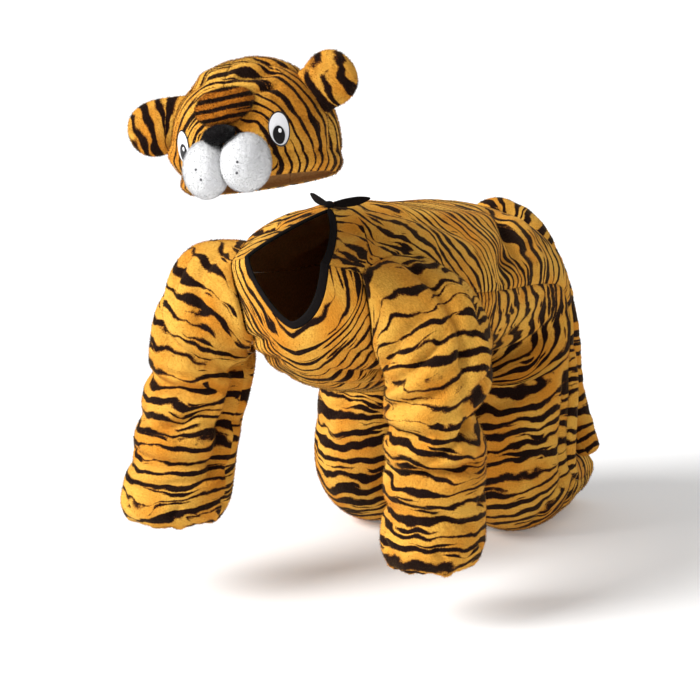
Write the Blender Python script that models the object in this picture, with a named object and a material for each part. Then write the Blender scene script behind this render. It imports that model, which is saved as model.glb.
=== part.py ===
"""Tiger costume for a child: a plush jumpsuit with a stuffed tail, and a tiger head hat.

The jumpsuit keeps the hollow shape that it has on a wearer on hands and knees.
Tables are in centimetres, in a floor frame: x to the wearer's left, y to the rear, z up.
The objects are in metres, with their origin at the hold point between the shoulders.
"""

import math

import bmesh
import bpy
import numpy as np

# Units and driving sizes, in centimetres
CM = 0.01
HOLD = np.array((0.0, -12.0, 40.0))
CLOTH = 0.25
SEAM = 0.03
SEAM_LOOK = 0.04
LEAST = 1e-6
HAT_CLOTH = 0.3
BINDING_WIDTH = 0.9
BINDING_THICK = 0.3
NAPE_GAP = 0.06
# How far along the cloth its direction at the neck edge is read, in sections
NECK_STEP = 0.02
SLEEVE_COLUMNS = 28
SLEEVE_TURNS = 112
PANEL_COLUMNS = 9

# Colours of the cloths
PLUSH = (0.72, 0.36, 0.05)
BLACK = (0.012, 0.010, 0.010)
WHITE = (0.85, 0.85, 0.83)
DEEP_PLUSH = (0.55, 0.20, 0.03)

# Sections of the body, each half an oval about the middle plane:
# centre x, y, z, half width, depth to the back, depth to the front, pitch of the back half and of
# the front half in degrees, power of the back oval and of the front oval
BODY = (
    ("neck", 0.0, -22.8, 40.2, 5.2, 11.3, 7.3, 68, 10, 1.3, 1.6),
    ("yoke", 0.0, -20.5, 39.0, 8.6, 12.0, 8.9, 62, 19, 1.6, 1.7),
    ("shoulder", 0.0, -16.8, 37.6, 11.6, 12.2, 10.9, 55, 26, 1.9, 1.85),
    ("chest", 0.0, -11.5, 36.2, 13.2, 11.4, 12.5, 45, 28, 2.0, 2.0),
    ("ribs", 0.0, -5.2, 35.0, 14.0, 10.1, 13.0, 33, 26, 2.0, 2.0),
    ("waist", 0.0, 1.0, 34.3, 14.4, 9.6, 12.8, 25, 22, 2.0, 2.0),
    ("belly", 0.0, 7.0, 33.8, 14.8, 9.3, 11.7, 22, 22, 2.0, 2.0),
    ("loin", 0.0, 12.0, 33.2, 15.2, 9.6, 10.7, 27, 27, 2.0, 2.0),
    ("hip", 0.0, 16.0, 32.2, 15.5, 9.8, 11.4, 39, 37, 2.0, 2.0),
    ("seat", 0.0, 18.2, 29.6, 15.6, 9.0, 10.1, 58, 51, 2.0, 2.0),
    ("fork", 3.2, 18.4, 26.6, 12.8, 8.6, 9.1, 77, 64, 2.0, 2.0),
)
LEFT_LEG = (
    ("crotch", 8.0, 17.8, 23.2, 8.1, 8.5, 9.2, 88, 75, 2.0, 2.0),
    ("thigh", 8.5, 17.0, 18.6, 8.0, 8.3, 9.3, 90, 85, 2.0, 2.0),
    ("low_thigh", 8.5, 16.5, 13.2, 8.0, 8.2, 9.3, 88, 88, 2.0, 2.0),
    ("knee", 8.5, 17.4, 9.2, 7.9, 7.2, 9.6, 68, 68, 2.0, 2.0),
    ("knee_back", 8.8, 20.6, 6.8, 7.3, 5.2, 8.6, 44, 44, 2.0, 2.0),
    ("calf", 9.1, 25.0, 5.4, 6.4, 4.8, 5.4, 18, 18, 2.0, 2.0),
    ("low_calf", 9.0, 29.4, 5.1, 5.9, 4.6, 4.8, 4, 4, 2.0, 2.0),
    ("bloused", 8.8, 32.8, 5.0, 5.3, 4.5, 4.5, 0, 0, 2.0, 2.0),
    ("hem", 8.8, 33.6, 5.0, 3.9, 3.7, 3.7, 0, 0, 2.0, 2.0),
)
RIGHT_LEG = (
    ("crotch", 8.0, 17.8, 23.2, 8.1, 8.5, 9.2, 88, 75, 2.0, 2.0),
    ("thigh", 8.3, 15.8, 18.6, 7.9, 8.3, 9.3, 92, 85, 2.0, 2.0),
    ("low_thigh", 8.3, 13.8, 13.2, 7.7, 8.4, 9.0, 88, 88, 2.0, 2.0),
    ("knee", 8.4, 13.8, 9.2, 7.6, 7.6, 9.4, 68, 68, 2.0, 2.0),
    ("knee_back", 8.6, 16.6, 6.8, 7.2, 5.6, 8.6, 44, 44, 2.0, 2.0),
    ("calf", 8.8, 21.2, 5.4, 6.2, 5.4, 5.4, 18, 18, 2.0, 2.0),
    ("low_calf", 9.0, 26.0, 5.1, 5.6, 5.2, 4.8, 4, 4, 2.0, 2.0),
    ("bloused", 9.0, 29.4, 5.0, 5.1, 4.9, 4.5, 0, 0, 2.0, 2.0),
    ("hem", 9.0, 30.2, 5.0, 3.8, 3.8, 3.7, 0, 0, 2.0, 2.0),
)
# Where the cut of a leg parts from the cut of the trunk, counted in sections
HIP_CUT = 9.25

# The neck sits to one side: how far, and where that starts and ends
SWAY = 1.5
SWAY_START = 33.0
SWAY_RISE = 8.0
SWAY_END = 2.0
SWAY_FADE = 12.0

# Armhole, in sections along the body and in radians to the back and to the front
ARM_FRONT_END = 0.85
ARM_REAR_END = 2.85
ARM_BACK = 0.42
ARM_CHEST = 0.85
ARM_SKEW = 0.45
# How far the sleeve's edge stays inside the armhole, in sections and in radians
ARM_INSET_LONG = 0.012
ARM_INSET_TURN = 0.006
ARM_LIFT = 0.07
# The sleeve's own gap to the body, looked for over this many sections and points
ARM_CLEAR = 0.4
SKIN_REACH = 5
SKIN_SAMPLES = 101

# Cap of each sleeve: its place between the armhole and the sleeve, bulge, and its lean in degrees
# Sections of the sleeves: centre x, y, z, half size sideways, half size fore and aft, turn
LEFT_CAP = (0.5, 2.4, 56)
RIGHT_CAP = (0.5, 2.5, 66)
LEFT_SLEEVE = (
    ("upper", 14.0, -16.9, 29.4, 6.0, 6.6, 70),
    ("biceps", 14.0, -17.2, 25.4, 5.8, 6.2, 86),
    ("elbow", 13.9, -17.4, 20.6, 5.6, 5.9, 90),
    ("forearm", 13.9, -17.6, 16.0, 5.6, 5.8, 90),
    ("low_arm", 13.9, -17.8, 12.0, 5.7, 5.8, 90),
    ("bloused", 13.9, -18.0, 9.4, 5.7, 5.8, 90),
    ("fold", 13.8, -18.1, 7.6, 5.0, 5.1, 90),
    ("tuck", 13.8, -18.1, 7.2, 3.9, 4.0, 90),
    ("cuff", 13.8, -18.1, 8.2, 3.1, 3.2, 90),
)
RIGHT_SLEEVE = (
    ("upper", 14.5, -17.4, 30.9, 6.4, 6.5, 58),
    ("biceps", 15.0, -18.4, 26.4, 5.9, 6.4, 80),
    ("elbow", 15.4, -19.6, 22.0, 5.9, 6.2, 90),
    ("forearm", 15.8, -21.0, 17.4, 6.0, 6.2, 90),
    ("low_arm", 16.0, -22.0, 13.8, 6.2, 6.3, 90),
    ("bloused", 16.2, -22.5, 11.4, 6.2, 6.3, 90),
    ("fold", 16.3, -22.6, 9.8, 5.4, 5.4, 90),
    ("tuck", 16.3, -22.6, 9.4, 4.0, 4.0, 90),
    ("cuff", 16.3, -22.6, 10.4, 3.2, 3.2, 90),
)

# Folds: start and end in sections and degrees, half width, depth; a negative depth is a ridge
LEFT_BODY_FOLDS = (
    ("loin_fold", 6.9, 66, 4.6, 4, 1.3, 1.1),
    ("knee_pit", 14.0, 60, 14.0, 150, 1.3, 1.0),
    ("thigh_back", 11.0, 40, 13.6, 30, 1.2, 0.7),
)
RIGHT_BODY_FOLDS = (
    ("loin_fold", 6.6, 60, 4.6, 6, 1.4, 0.9),
    ("knee_pit", 14.0, 60, 14.0, 150, 1.3, 1.0),
)
LEFT_SLEEVE_FOLDS = (
    ("upper_drag", 1.2, 60, 2.6, 170, 1.1, 0.8),
    ("lower_drag", 2.0, 40, 3.4, 160, 1.1, 0.8),
    ("ring_high", 3.5, 100, 3.7, 280, 0.9, 0.8),
    ("ring_mid", 4.4, 60, 4.5, 260, 0.9, 0.7),
    ("ring_low", 5.5, 130, 5.6, 330, 0.9, 0.7),
)
RIGHT_SLEEVE_FOLDS = (
    ("upper_drag", 1.3, 60, 2.7, 190, 1.1, 0.8),
    ("ring_high", 3.2, 60, 3.4, 240, 0.9, 0.8),
    ("ring_mid", 4.2, 100, 4.3, 300, 0.9, 0.8),
    ("ring_low", 5.4, 90, 5.5, 280, 0.9, 0.8),
)
# Rows of points along a sleeve, in sections
SLEEVE_ROWS = (0, 0.5, 1, 1.5, 2, 2.5, 3, 3.5, 4, 4.6, 5.2, 5.8, 6.4, 7, 7.6, 8.2, 9, 10)
# Rows ahead of the armhole, the first row behind it, and the rows back from the hem
SHOULDER_ROWS = (0.0, 0.3, 0.6)
BEHIND_ARM = 0.45
TRUNK_ROWS = 13
LEG_ROWS = 16
HEM_ROWS = (2.0, 1.4, 0.8, 0.3, 0.0)
CUFF_GATHERS = 8
CUFF_GATHER_DEPTH = 0.28
HEM_GATHERS = 8
HEM_GATHER_DEPTH = 0.25
# Where the gathers start, in sections back from the cuff or hem, and over how many they deepen
CUFF_GATHER_START = 3.4
CUFF_GATHER_RUN = 1.6
HEM_GATHER_START = 2.2
HEM_GATHER_RUN = 1.2

# Tail: where it is sewn on, in sections and degrees, and its centre x, y, z and radius
TAIL_ROOT_AT = 8.7
TAIL_ROOT_TURN = 90
TAIL_ROOT_RADIUS = 1.7
TAIL = (
    ("stem", 0.5, 26.7, 38.0, 2.0),
    ("rise", 2.0, 28.4, 38.5, 2.2),
    ("turn", 5.4, 29.6, 36.2, 2.3),
    ("fall", 8.4, 29.6, 31.2, 2.3),
    ("hang", 10.4, 29.0, 25.4, 2.3),
    ("low", 11.3, 28.4, 20.2, 2.3),
    ("knee", 12.1, 28.0, 15.4, 2.3),
    ("end", 13.6, 27.5, 12.0, 2.2),
    ("tip", 15.6, 27.1, 8.9, 1.5),
)
TAIL_COLUMNS = 12
TAIL_RINGS = 18
TAIL_LIFT = 0.02

# Hat: centre, half sizes and tilt in degrees
HAT_CENTRE = np.array((-1.8, -28.3, 53.4))
HAT_HALF_WIDTH = 8.6
HAT_HALF_FRONT = 9.2
HAT_HALF_BACK = 9.6
HAT_HEIGHT = 8.8
HAT_DEPTH = 10.0
HAT_YAW = 11
HAT_ROLL = 12
# Elevation of the hat's lower edge at its sides, and its change to the front and back
HAT_RIM = -26
HAT_RIM_CHANGE = 8.5
HAT_LONG_ROWS = 20
HAT_CROSS_ROWS = 10
# Radius on which places on the hat are measured along its cloth
HAT_RADIUS = 9.0

# Pieces on the hat: place across and up from the front, half width, half height
EYE = (5.85, 1.35, 1.1, 1.7)
PUPIL = (5.65, 0.75, 0.45, 0.75)
BRIDGE = (0.15, 5.0, 3.3, 2.1)
NOSE = (0.0, 2.05, 1.5, 0.78)
MUZZLE = (2.25, -0.5, 2.25, 2.55)
# Their profiles from the underside to the top: share of the outline and height over the cloth
EYE_PROFILE = ((0.5, 0.03), (1.0, 0.03), (1.0, 0.13), (0.5, 0.16))
PUPIL_PROFILE = ((1.0, 0.19), (1.0, 0.24), (0.5, 0.26))
BRIDGE_PROFILE = (
    (0.35, 0.03),
    (0.7, 0.03),
    (0.97, 0.03),
    (1.0, 0.35),
    (0.88, 0.7),
    (0.62, 0.95),
    (0.3, 1.05),
)
BRIDGE_SLOPE = 0.45
MUZZLE_DROOP = 0.3
NOSE_PROFILE = (
    (0.4, 0.03),
    (0.8, 0.03),
    (0.9, 0.9),
    (1.0, 1.7),
    (0.95, 2.3),
    (0.65, 2.7),
    (0.3, 2.85),
)
MUZZLE_PROFILE = (
    (0.4, 0.03),
    (0.78, 0.03),
    (0.93, 0.6),
    (1.0, 1.4),
    (0.98, 2.2),
    (0.86, 3.0),
    (0.6, 3.6),
    (0.3, 3.9),
)
PAD_COLUMNS = 16

# Ears: place on the hat in degrees, then length along, half width and half thickness
EAR_AZIMUTH = 82
EAR_ELEVATION = 27
LEFT_EAR_LIFT = 28
RIGHT_EAR_LIFT = -12
LEFT_EAR_SIZE = 0.86
RIGHT_EAR_SIZE = 1.0
EAR_LIFT = 0.06
EAR = (
    ("low", 0.9, 2.6, 1.0),
    ("body", 2.0, 2.8, 1.2),
    ("broad", 3.2, 2.8, 1.2),
    ("round", 4.4, 2.4, 1.0),
    ("high", 5.2, 1.7, 0.8),
    ("tip", 5.6, 0.9, 0.5),
)
EAR_BASE_WIDTH = 2.6
EAR_BASE_THICK = 0.85
EAR_BASE_SHARES = (0.35, 0.7, 1.0)
EAR_TURN = 2.5

# Ties at the nape: length and half width of each leaf
TIE = (
    ("root", 0.0, 0.28),
    ("swell", 1.2, 0.5),
    ("leaf", 2.6, 0.52),
    ("narrow", 3.6, 0.3),
    ("point", 4.1, 0.08),
)
TIE_THICK = 0.14
TIE_DROOP = 0.04
TIE_FACE = np.array((-0.4, 0.85, 0.2))
KNOT_COLUMNS = 10
KNOT_LIFT = 0.04
KNOT_SIZE = np.array((0.62, 0.5, 0.42))
KNOT_LEVELS = (-0.75, -0.3, 0.3, 0.75)
TIE_GAP = 0.01
# Section of the binding: distance out from the neck edge, and height over the cloth
BINDING_SECTION = (
    (SEAM, 0.02),
    (SEAM + BINDING_WIDTH / 2, 0.06),
    (SEAM + BINDING_WIDTH, 0.0),
    (SEAM + BINDING_WIDTH, -BINDING_THICK),
    (SEAM + BINDING_WIDTH / 2, -BINDING_THICK - 0.04),
    (SEAM, -BINDING_THICK + 0.02),
)


def eased(before, start, end, after, part):
    """Smooth curve from start to end, led by the values on either side."""
    square = part * part
    cube = square * part
    return (
        (2 * cube - 3 * square + 1) * start
        + (cube - 2 * square + part) * (end - before) / 2
        + (3 * square - 2 * cube) * end
        + (cube - square) * (after - start) / 2
    )


def spline(rows, at):
    """Read the numbers of a table between its rows, on a smooth curve through them."""
    rows = np.asarray(rows, float)
    last = len(rows) - 1
    at = np.clip(np.asarray(at, float), 0, last)
    low = np.minimum(at.astype(int), last - 1)
    near = [rows[np.clip(low + step, 0, last)] for step in (-1, 0, 1, 2)]
    return eased(*near, (at - low)[..., None])


def numbers(table):
    """The number columns of a table whose first column is a name."""
    return [row[1:] for row in table]


def unit(vectors):
    return vectors / np.maximum(np.linalg.norm(vectors, axis=-1, keepdims=True), 1e-9)


def oval(table, at, turn):
    """Point of the body's cloth: sections along, and an angle from the side seam to the back."""
    row = spline(numbers(table), at)
    across, along, up, width, back, front, pitch_back, pitch_front, round_back, round_front = (
        np.moveaxis(row, -1, 0)
    )
    cos = np.cos(turn)
    sin = np.sin(turn)
    power = np.where(sin > 0, round_back, round_front)
    x = across + width * np.sign(cos) * np.abs(cos) ** (2 / power)
    depth = np.where(sin > 0, back, front) * np.sign(sin) * np.abs(sin) ** (2 / power)
    pitch = np.radians(np.where(sin > 0, pitch_back, pitch_front))
    return np.stack([x, along + depth * np.sin(pitch), up + depth * np.cos(pitch)], -1)


def facing(point, at, turn, step=0.002):
    """Outward normals of a surface that is given by two numbers."""
    along = point(at + step, turn) - point(at - step, turn)
    round_it = point(at, turn + step) - point(at, turn - step)
    return unit(np.cross(along, round_it))


def folded(points, normals, lines):
    """Points moved along their normals by soft troughs and ridges that follow lines."""
    shift = np.zeros(points.shape[:-1])
    for line, width, depth in lines:
        near = np.full(points.shape[:-1], 1e9)
        place = np.zeros(points.shape[:-1])
        spans = len(line) - 1
        for index in range(spans):
            start = line[index]
            step = line[index + 1] - start
            part = np.clip(((points - start) @ step) / (step @ step), 0, 1)
            gap = np.linalg.norm(points - start - part[..., None] * step, axis=-1)
            closer = gap < near
            near = np.where(closer, gap, near)
            place = np.where(closer, (index + part) / spans, place)
        fade = np.clip(4 * place * (1 - place), 0, 1) ** 0.5
        shift -= depth * fade * np.exp(-((near / width) ** 2))
    return points + normals * shift[..., None]


def fold_lines(point, folds):
    """The lines that folds follow on a surface."""
    lines = []
    for _name, at_start, turn_start, at_end, turn_end, width, depth in folds:
        at = np.linspace(at_start, at_end, 9)
        turn = np.radians(np.linspace(turn_start, turn_end, 9))
        lines.append((point(at, turn), width, depth))
    return lines


def cloth_body(table, folds):
    """The body's cloth with its folds, as a function of section and angle."""

    def plain(at, turn):
        return oval(table, at, turn)

    lines = fold_lines(plain, folds)
    last = len(table) - 1

    def gathered(at, turn):
        points = plain(at, turn)
        normals = facing(plain, at, turn)
        points = folded(points, normals, lines)
        wave = np.clip((at - last + HEM_GATHER_START) / HEM_GATHER_RUN, 0, 1) ** 2
        depth = HEM_GATHER_DEPTH * wave * np.cos(HEM_GATHERS * turn)
        return points + normals * depth[..., None]

    return gathered


def armhole_at(turn):
    """Section of the armhole's edge, which is set back on the chest side."""
    middle = (ARM_FRONT_END + ARM_REAR_END) / 2
    half = (ARM_REAR_END - ARM_FRONT_END) / 2
    return middle + half * np.cos(turn) + ARM_SKEW * np.clip(-np.sin(turn), 0, 1) ** 2


def outside(body, points):
    """Points brought clear of the body's cloth."""
    at = np.linspace(0, SKIN_REACH, SKIN_SAMPLES)
    turn = np.linspace(-math.pi / 2, math.pi / 2, SKIN_SAMPLES)
    at, turn = np.meshgrid(at, turn, indexing="ij")
    skin = body(at, turn).reshape(-1, 3)
    normal = facing(body, at, turn).reshape(-1, 3)
    moved = points.copy()
    for index, point in enumerate(points):
        gap = point - skin
        near = np.argmin((gap * gap).sum(-1))
        short = ARM_CLEAR - gap[near] @ normal[near]
        moved[index] = point + max(short, 0) * normal[near]
    return moved


def sleeve_rings(table, cap, body):
    """The rings that a sleeve's cloth runs through, from the armhole's edge to the cuff."""
    turn = round_turns(SLEEVE_TURNS)
    at = armhole_at(turn) - ARM_INSET_LONG * np.cos(turn)
    reach = np.where(np.sin(turn) > 0, ARM_BACK, ARM_CHEST) - ARM_INSET_TURN
    hole = body(at, reach * np.sin(turn)) + ARM_LIFT * facing(body, at, reach * np.sin(turn))
    rings = []
    for x, y, z, sideways, fore_aft, bend in numbers(table):
        bend = math.radians(bend)
        side_axis = np.array((math.sin(bend), 0.0, math.cos(bend)))
        rear_axis = np.array((0.0, 1.0, 0.0))
        along_side = sideways * np.sin(turn)[:, None] * side_axis
        rings.append(np.array((x, y, z)) + fore_aft * np.cos(turn)[:, None] * rear_axis + along_side)
    share, bulge, lean = cap
    lean = math.radians(lean)
    puff = bulge * ((1 + np.sin(turn)) / 2)[:, None] ** 1.5
    middle_ring = (1 - share) * hole + share * rings[0]
    middle_ring = middle_ring + puff * np.array((math.cos(lean), 0.0, math.sin(lean)))
    return np.stack([hole, outside(body, middle_ring), outside(body, rings[0]), *rings[1:]])


def cloth_sleeve(table, cap, body, folds):
    """A sleeve's cloth, from the armhole's edge to the turned in cuff."""
    rings = sleeve_rings(table, cap, body)
    last = len(rings) - 1

    def plain(at, turn):
        at, turn = np.broadcast_arrays(np.clip(at, 0, last), turn)
        place = turn / (2 * math.pi) * SLEEVE_TURNS % SLEEVE_TURNS
        column = place.astype(int)
        low = np.minimum(at.astype(int), last - 1)

        def around(row):
            row = np.clip(row, 0, last)
            near = [rings[row, (column + step) % SLEEVE_TURNS] for step in (-1, 0, 1, 2)]
            return eased(*near, (place - column)[..., None])

        return eased(*[around(low + step) for step in (-1, 0, 1, 2)], (at - low)[..., None])

    lines = fold_lines(plain, folds)

    def gathered(at, turn):
        points = plain(at, turn)
        normals = -facing(plain, at, turn)
        points = folded(points, normals, lines)
        wave = np.clip((at - last + CUFF_GATHER_START) / CUFF_GATHER_RUN, 0, 1) ** 2
        depth = CUFF_GATHER_DEPTH * wave * np.cos(CUFF_GATHERS * turn)
        return points + normals * depth[..., None]

    return gathered


def in_metres(points):
    return (np.asarray(points) - HOLD) * CM


def material(name, colour, roughness=0.9):
    made = bpy.data.materials.get(name) or bpy.data.materials.new(name)
    made.use_nodes = True
    shader = made.node_tree.nodes["Principled BSDF"]
    shader.inputs["Base Color"].default_value = (*colour, 1)
    shader.inputs["Roughness"].default_value = roughness
    shader.inputs["Metallic"].default_value = 0.0
    return made


def solid(name, points, faces, look):
    """One closed object from points in centimetres and faces that point out."""
    mesh = bpy.data.meshes.new(name)
    mesh.from_pydata([tuple(p) for p in in_metres(points)], [], faces)
    build = bmesh.new()
    build.from_mesh(mesh)
    bmesh.ops.recalc_face_normals(build, faces=build.faces)
    build.to_mesh(mesh)
    build.free()
    mesh.shade_smooth()
    mesh.materials.append(look)
    made = bpy.data.objects.new(name, mesh)
    bpy.context.scene.collection.objects.link(made)
    return made


def wall(name, outer, inner, look, closed=False):
    """A cloth wall between an outer and an inner grid of points."""
    rows, columns = outer.shape[:2]
    points = np.concatenate([outer.reshape(-1, 3), inner.reshape(-1, 3)])
    below = rows * columns
    spans = columns if closed else columns - 1
    faces = []
    for i in range(rows - 1):
        for j in range(spans):
            k = (j + 1) % columns
            a, b = i * columns + j, i * columns + k
            c, d = a + columns, b + columns
            faces.append((a, b, d, c))
            faces.append((below + a, below + c, below + d, below + b))
    for i in (0, rows - 1):
        for j in range(spans):
            a = i * columns + j
            b = i * columns + (j + 1) % columns
            faces.append((a, b, below + b, below + a))
    if not closed:
        for i in range(rows - 1):
            for j in (0, columns - 1):
                a = i * columns + j
                b = a + columns
                faces.append((a, b, below + b, below + a))
    return solid(name, points, faces, look)


def pod(name, rings, look, start=None, end=None):
    """A closed body through rings of points, with a point at each end."""
    count = len(rings)
    columns = len(rings[0])
    start = np.mean(rings[0], axis=0) if start is None else start
    end = np.mean(rings[-1], axis=0) if end is None else end
    points = np.concatenate([*rings, [start], [end]])
    first, last = count * columns, count * columns + 1
    faces = []
    for i in range(count - 1):
        for j in range(columns):
            k = (j + 1) % columns
            a, b = i * columns + j, i * columns + k
            faces.append((a, b, b + columns, a + columns))
    for j in range(columns):
        k = (j + 1) % columns
        faces.append((first, k, j))
        faces.append((last, (count - 1) * columns + j, (count - 1) * columns + k))
    return solid(name, points, faces, look)


def tube_normals(grid):
    """Outward normals of a tube's points, from the points beside them."""
    along = np.gradient(grid, axis=0)
    round_it = np.roll(grid, -1, axis=1) - np.roll(grid, 1, axis=1)
    return unit(np.cross(round_it, along))


def round_turns(count):
    return np.arange(count) * 2 * math.pi / count


def placed(points, side):
    """Points of one side on the wearer, with the neck drawn a little to the right."""
    points = points * np.array((side, 1.0, 1.0))
    rise = np.clip((points[..., 2] - SWAY_START) / SWAY_RISE, 0, 1)
    fade = np.clip((SWAY_END - points[..., 1]) / SWAY_FADE, 0, 1)
    smooth = rise**2 * (3 - 2 * rise) * fade**2 * (3 - 2 * fade)
    shift = np.stack([-SWAY * smooth, np.zeros(smooth.shape), np.zeros(smooth.shape)], -1)
    return points + shift


def arm_edge(at, is_back):
    """Angle of the armhole's edge at a section, or none outside it."""
    half = (ARM_REAR_END - ARM_FRONT_END) / 2
    over = at - (ARM_FRONT_END + ARM_REAR_END) / 2
    if is_back:
        cos = over / half
        reach = ARM_BACK
    else:
        root = np.sqrt(np.clip(half**2 - 4 * ARM_SKEW * (over - ARM_SKEW), 0, None))
        cos = (half - root) / (2 * ARM_SKEW)
        reach = ARM_CHEST
    inside = (at > ARM_FRONT_END + LEAST) & (at < ARM_REAR_END - LEAST)
    return np.where(inside, reach * np.sqrt(np.clip(1 - cos**2, 0, 1)), 0)


def middle_edge(table, at, is_back):
    """Angle where the cloth meets the middle plane, or the inseam below the crotch."""
    row = spline(numbers(table), at)
    across, width = row[..., 0], row[..., 3]
    depth = row[..., 4] if is_back else row[..., 5]
    reach = np.clip((SEAM / 2 - across) / width, -1, 1)
    power = row[..., 8] if is_back else row[..., 9]
    cos = np.sign(reach) * np.abs(reach) ** (power / 2)
    return np.minimum(np.arccos(cos), np.pi - SEAM / 2 / depth)


def side_seam(body, at, way):
    """Edge points half a seam from the side seam, and the normals that both edges share."""
    zero = np.zeros(at.shape)
    normal = unit(facing(body, at, zero + SEAM_LOOK) + facing(body, at, zero - SEAM_LOOK))
    along = body(at + SEAM_LOOK, zero) - body(at - SEAM_LOOK, zero)
    across = unit(np.cross(normal, along))
    return body(at, zero) + way * SEAM / 2 * across, normal


def panel(name, side, table, body, rows, is_back, look):
    """One cut of the body, from the side seam to the middle or to the inseam."""
    at = np.array(rows, float)
    row = spline(numbers(table), at)
    depth = row[..., 4] if is_back else row[..., 5]
    start = np.maximum(arm_edge(at, is_back), SEAM / 2 / depth)
    end = middle_edge(table, at, is_back)
    part = np.linspace(0, 1, PANEL_COLUMNS)
    turn = start[:, None] + (end - start)[:, None] * part[None, :]
    if not is_back:
        turn = -turn
    at = np.repeat(at[:, None], PANEL_COLUMNS, 1)
    if rows[0] == HIP_CUT + SEAM:
        span = body(at[0] + SEAM_LOOK, turn[0]) - body(at[0] - SEAM_LOOK, turn[0])
        speed = np.linalg.norm(span, axis=-1) / (2 * SEAM_LOOK)
        at[0] = HIP_CUT + SEAM / speed
    outer = body(at, turn)
    normal = facing(body, at, turn)
    seam, seam_normal = side_seam(body, at[:, 0], 1 if is_back else -1)
    on_middle = outer[:, -1, 0] < SEAM
    normal[on_middle, -1, 0] = 0
    normal = unit(normal)
    on_seam = (arm_edge(at[:, 0], is_back) == 0)[:, None]
    outer[:, 0] = np.where(on_seam, seam, outer[:, 0])
    normal[:, 0] = np.where(on_seam, seam_normal, normal[:, 0])
    inner = outer - CLOTH * normal
    for grid in (outer, inner):
        grid[..., 0] = np.maximum(grid[..., 0], SEAM / 2)
    wall(name, placed(outer, side), placed(inner, side), look)


def trunk_rows(is_back):
    half = SLEEVE_COLUMNS // 2
    turn = np.linspace(math.pi, 0, half + 1) * (1 if is_back else -1)
    after = np.linspace(ARM_REAR_END + BEHIND_ARM, HIP_CUT, TRUNK_ROWS)
    return [*SHOULDER_ROWS, *armhole_at(turn), *after]


def leg_rows(last):
    down = np.linspace(HIP_CUT + SEAM, last - HEM_ROWS[0], LEG_ROWS)
    return [*down, *[last - back for back in HEM_ROWS[1:]]]


def make_jumpsuit(plush):
    for side, name, leg, folds, arm, cap, arm_folds in (
        (1, "left", LEFT_LEG, LEFT_BODY_FOLDS, LEFT_SLEEVE, LEFT_CAP, LEFT_SLEEVE_FOLDS),
        (-1, "right", RIGHT_LEG, RIGHT_BODY_FOLDS, RIGHT_SLEEVE, RIGHT_CAP, RIGHT_SLEEVE_FOLDS),
    ):
        table = BODY + leg
        body = cloth_body(table, folds)
        for part, is_back in (("front", False), ("back", True)):
            panel(f"{part}_{name}", side, table, body, trunk_rows(is_back), is_back, plush)
            panel(f"{part}_{name}_leg", side, table, body, leg_rows(len(table) - 1), is_back, plush)
        sleeve = cloth_sleeve(arm, cap, body, arm_folds)
        at, turn = np.meshgrid(SLEEVE_ROWS, round_turns(SLEEVE_COLUMNS), indexing="ij")
        outer = sleeve(at, turn)
        inner = outer - CLOTH * tube_normals(outer)
        wall(f"sleeve_{name}", placed(outer, side), placed(inner, side), plush, closed=True)


def make_tail(plush):
    body = cloth_body(BODY + LEFT_LEG, ())
    root_at = np.array(TAIL_ROOT_AT)
    root_turn = np.array(math.radians(TAIL_ROOT_TURN))
    root = body(root_at, root_turn)
    stand = facing(body, root_at, root_turn)
    at = np.linspace(0, len(TAIL) - 1, TAIL_RINGS)
    rows = spline(numbers(TAIL), at)
    centre = rows[:, :3]
    along = unit(np.gradient(centre, axis=0))
    side = unit(np.cross(along, np.array((1.0, 0.0, 0.2))))
    up = np.cross(side, along)
    turn = round_turns(TAIL_COLUMNS)
    ring = np.cos(turn)[None, :, None] * side[:, None] + np.sin(turn)[None, :, None] * up[:, None]
    rings = centre[:, None] + rows[:, 3][:, None, None] * ring
    flat = ring[0] - (ring[0] @ stand)[:, None] * stand
    base = root + (SEAM + TAIL_LIFT) * stand + TAIL_ROOT_RADIUS * unit(flat)
    pod("tail", [base, *rings], plush)


def hat_axes():
    """The hat's own directions: to the wearer's left, to the front, and up."""
    yaw = math.radians(HAT_YAW)
    roll = math.radians(HAT_ROLL)
    level = np.array((math.cos(yaw), math.sin(yaw), 0.0))
    front = np.array((math.sin(yaw), -math.cos(yaw), 0.0))
    upright = np.array((0.0, 0.0, 1.0))
    left = math.cos(roll) * level + math.sin(roll) * upright
    up = math.cos(roll) * upright - math.sin(roll) * level
    return np.stack([left, front, up])


def on_hat(side, azimuth, elevation, height):
    """Points over one half of the hat; the azimuth is zero in front and grows to the side."""
    cos = np.cos(elevation)
    depth = np.where(np.cos(azimuth) > 0, HAT_HALF_FRONT, HAT_HALF_BACK)
    tall = np.where(elevation > 0, HAT_HEIGHT, HAT_DEPTH)
    local = np.stack([
        HAT_HALF_WIDTH * cos * np.sin(azimuth),
        depth * cos * np.cos(azimuth),
        tall * np.sin(elevation),
    ], -1)
    half = np.stack([np.full(depth.shape, HAT_HALF_WIDTH), depth, tall], -1)
    normal = unit(local / half**2)
    local = local + normal * np.asarray(height)[..., None]
    shift = SEAM / 2 * side
    local = local * np.array((side, 1.0, 1.0)) + np.array((shift, 0.0, 0.0))
    return HAT_CENTRE + local @ hat_axes()


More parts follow.
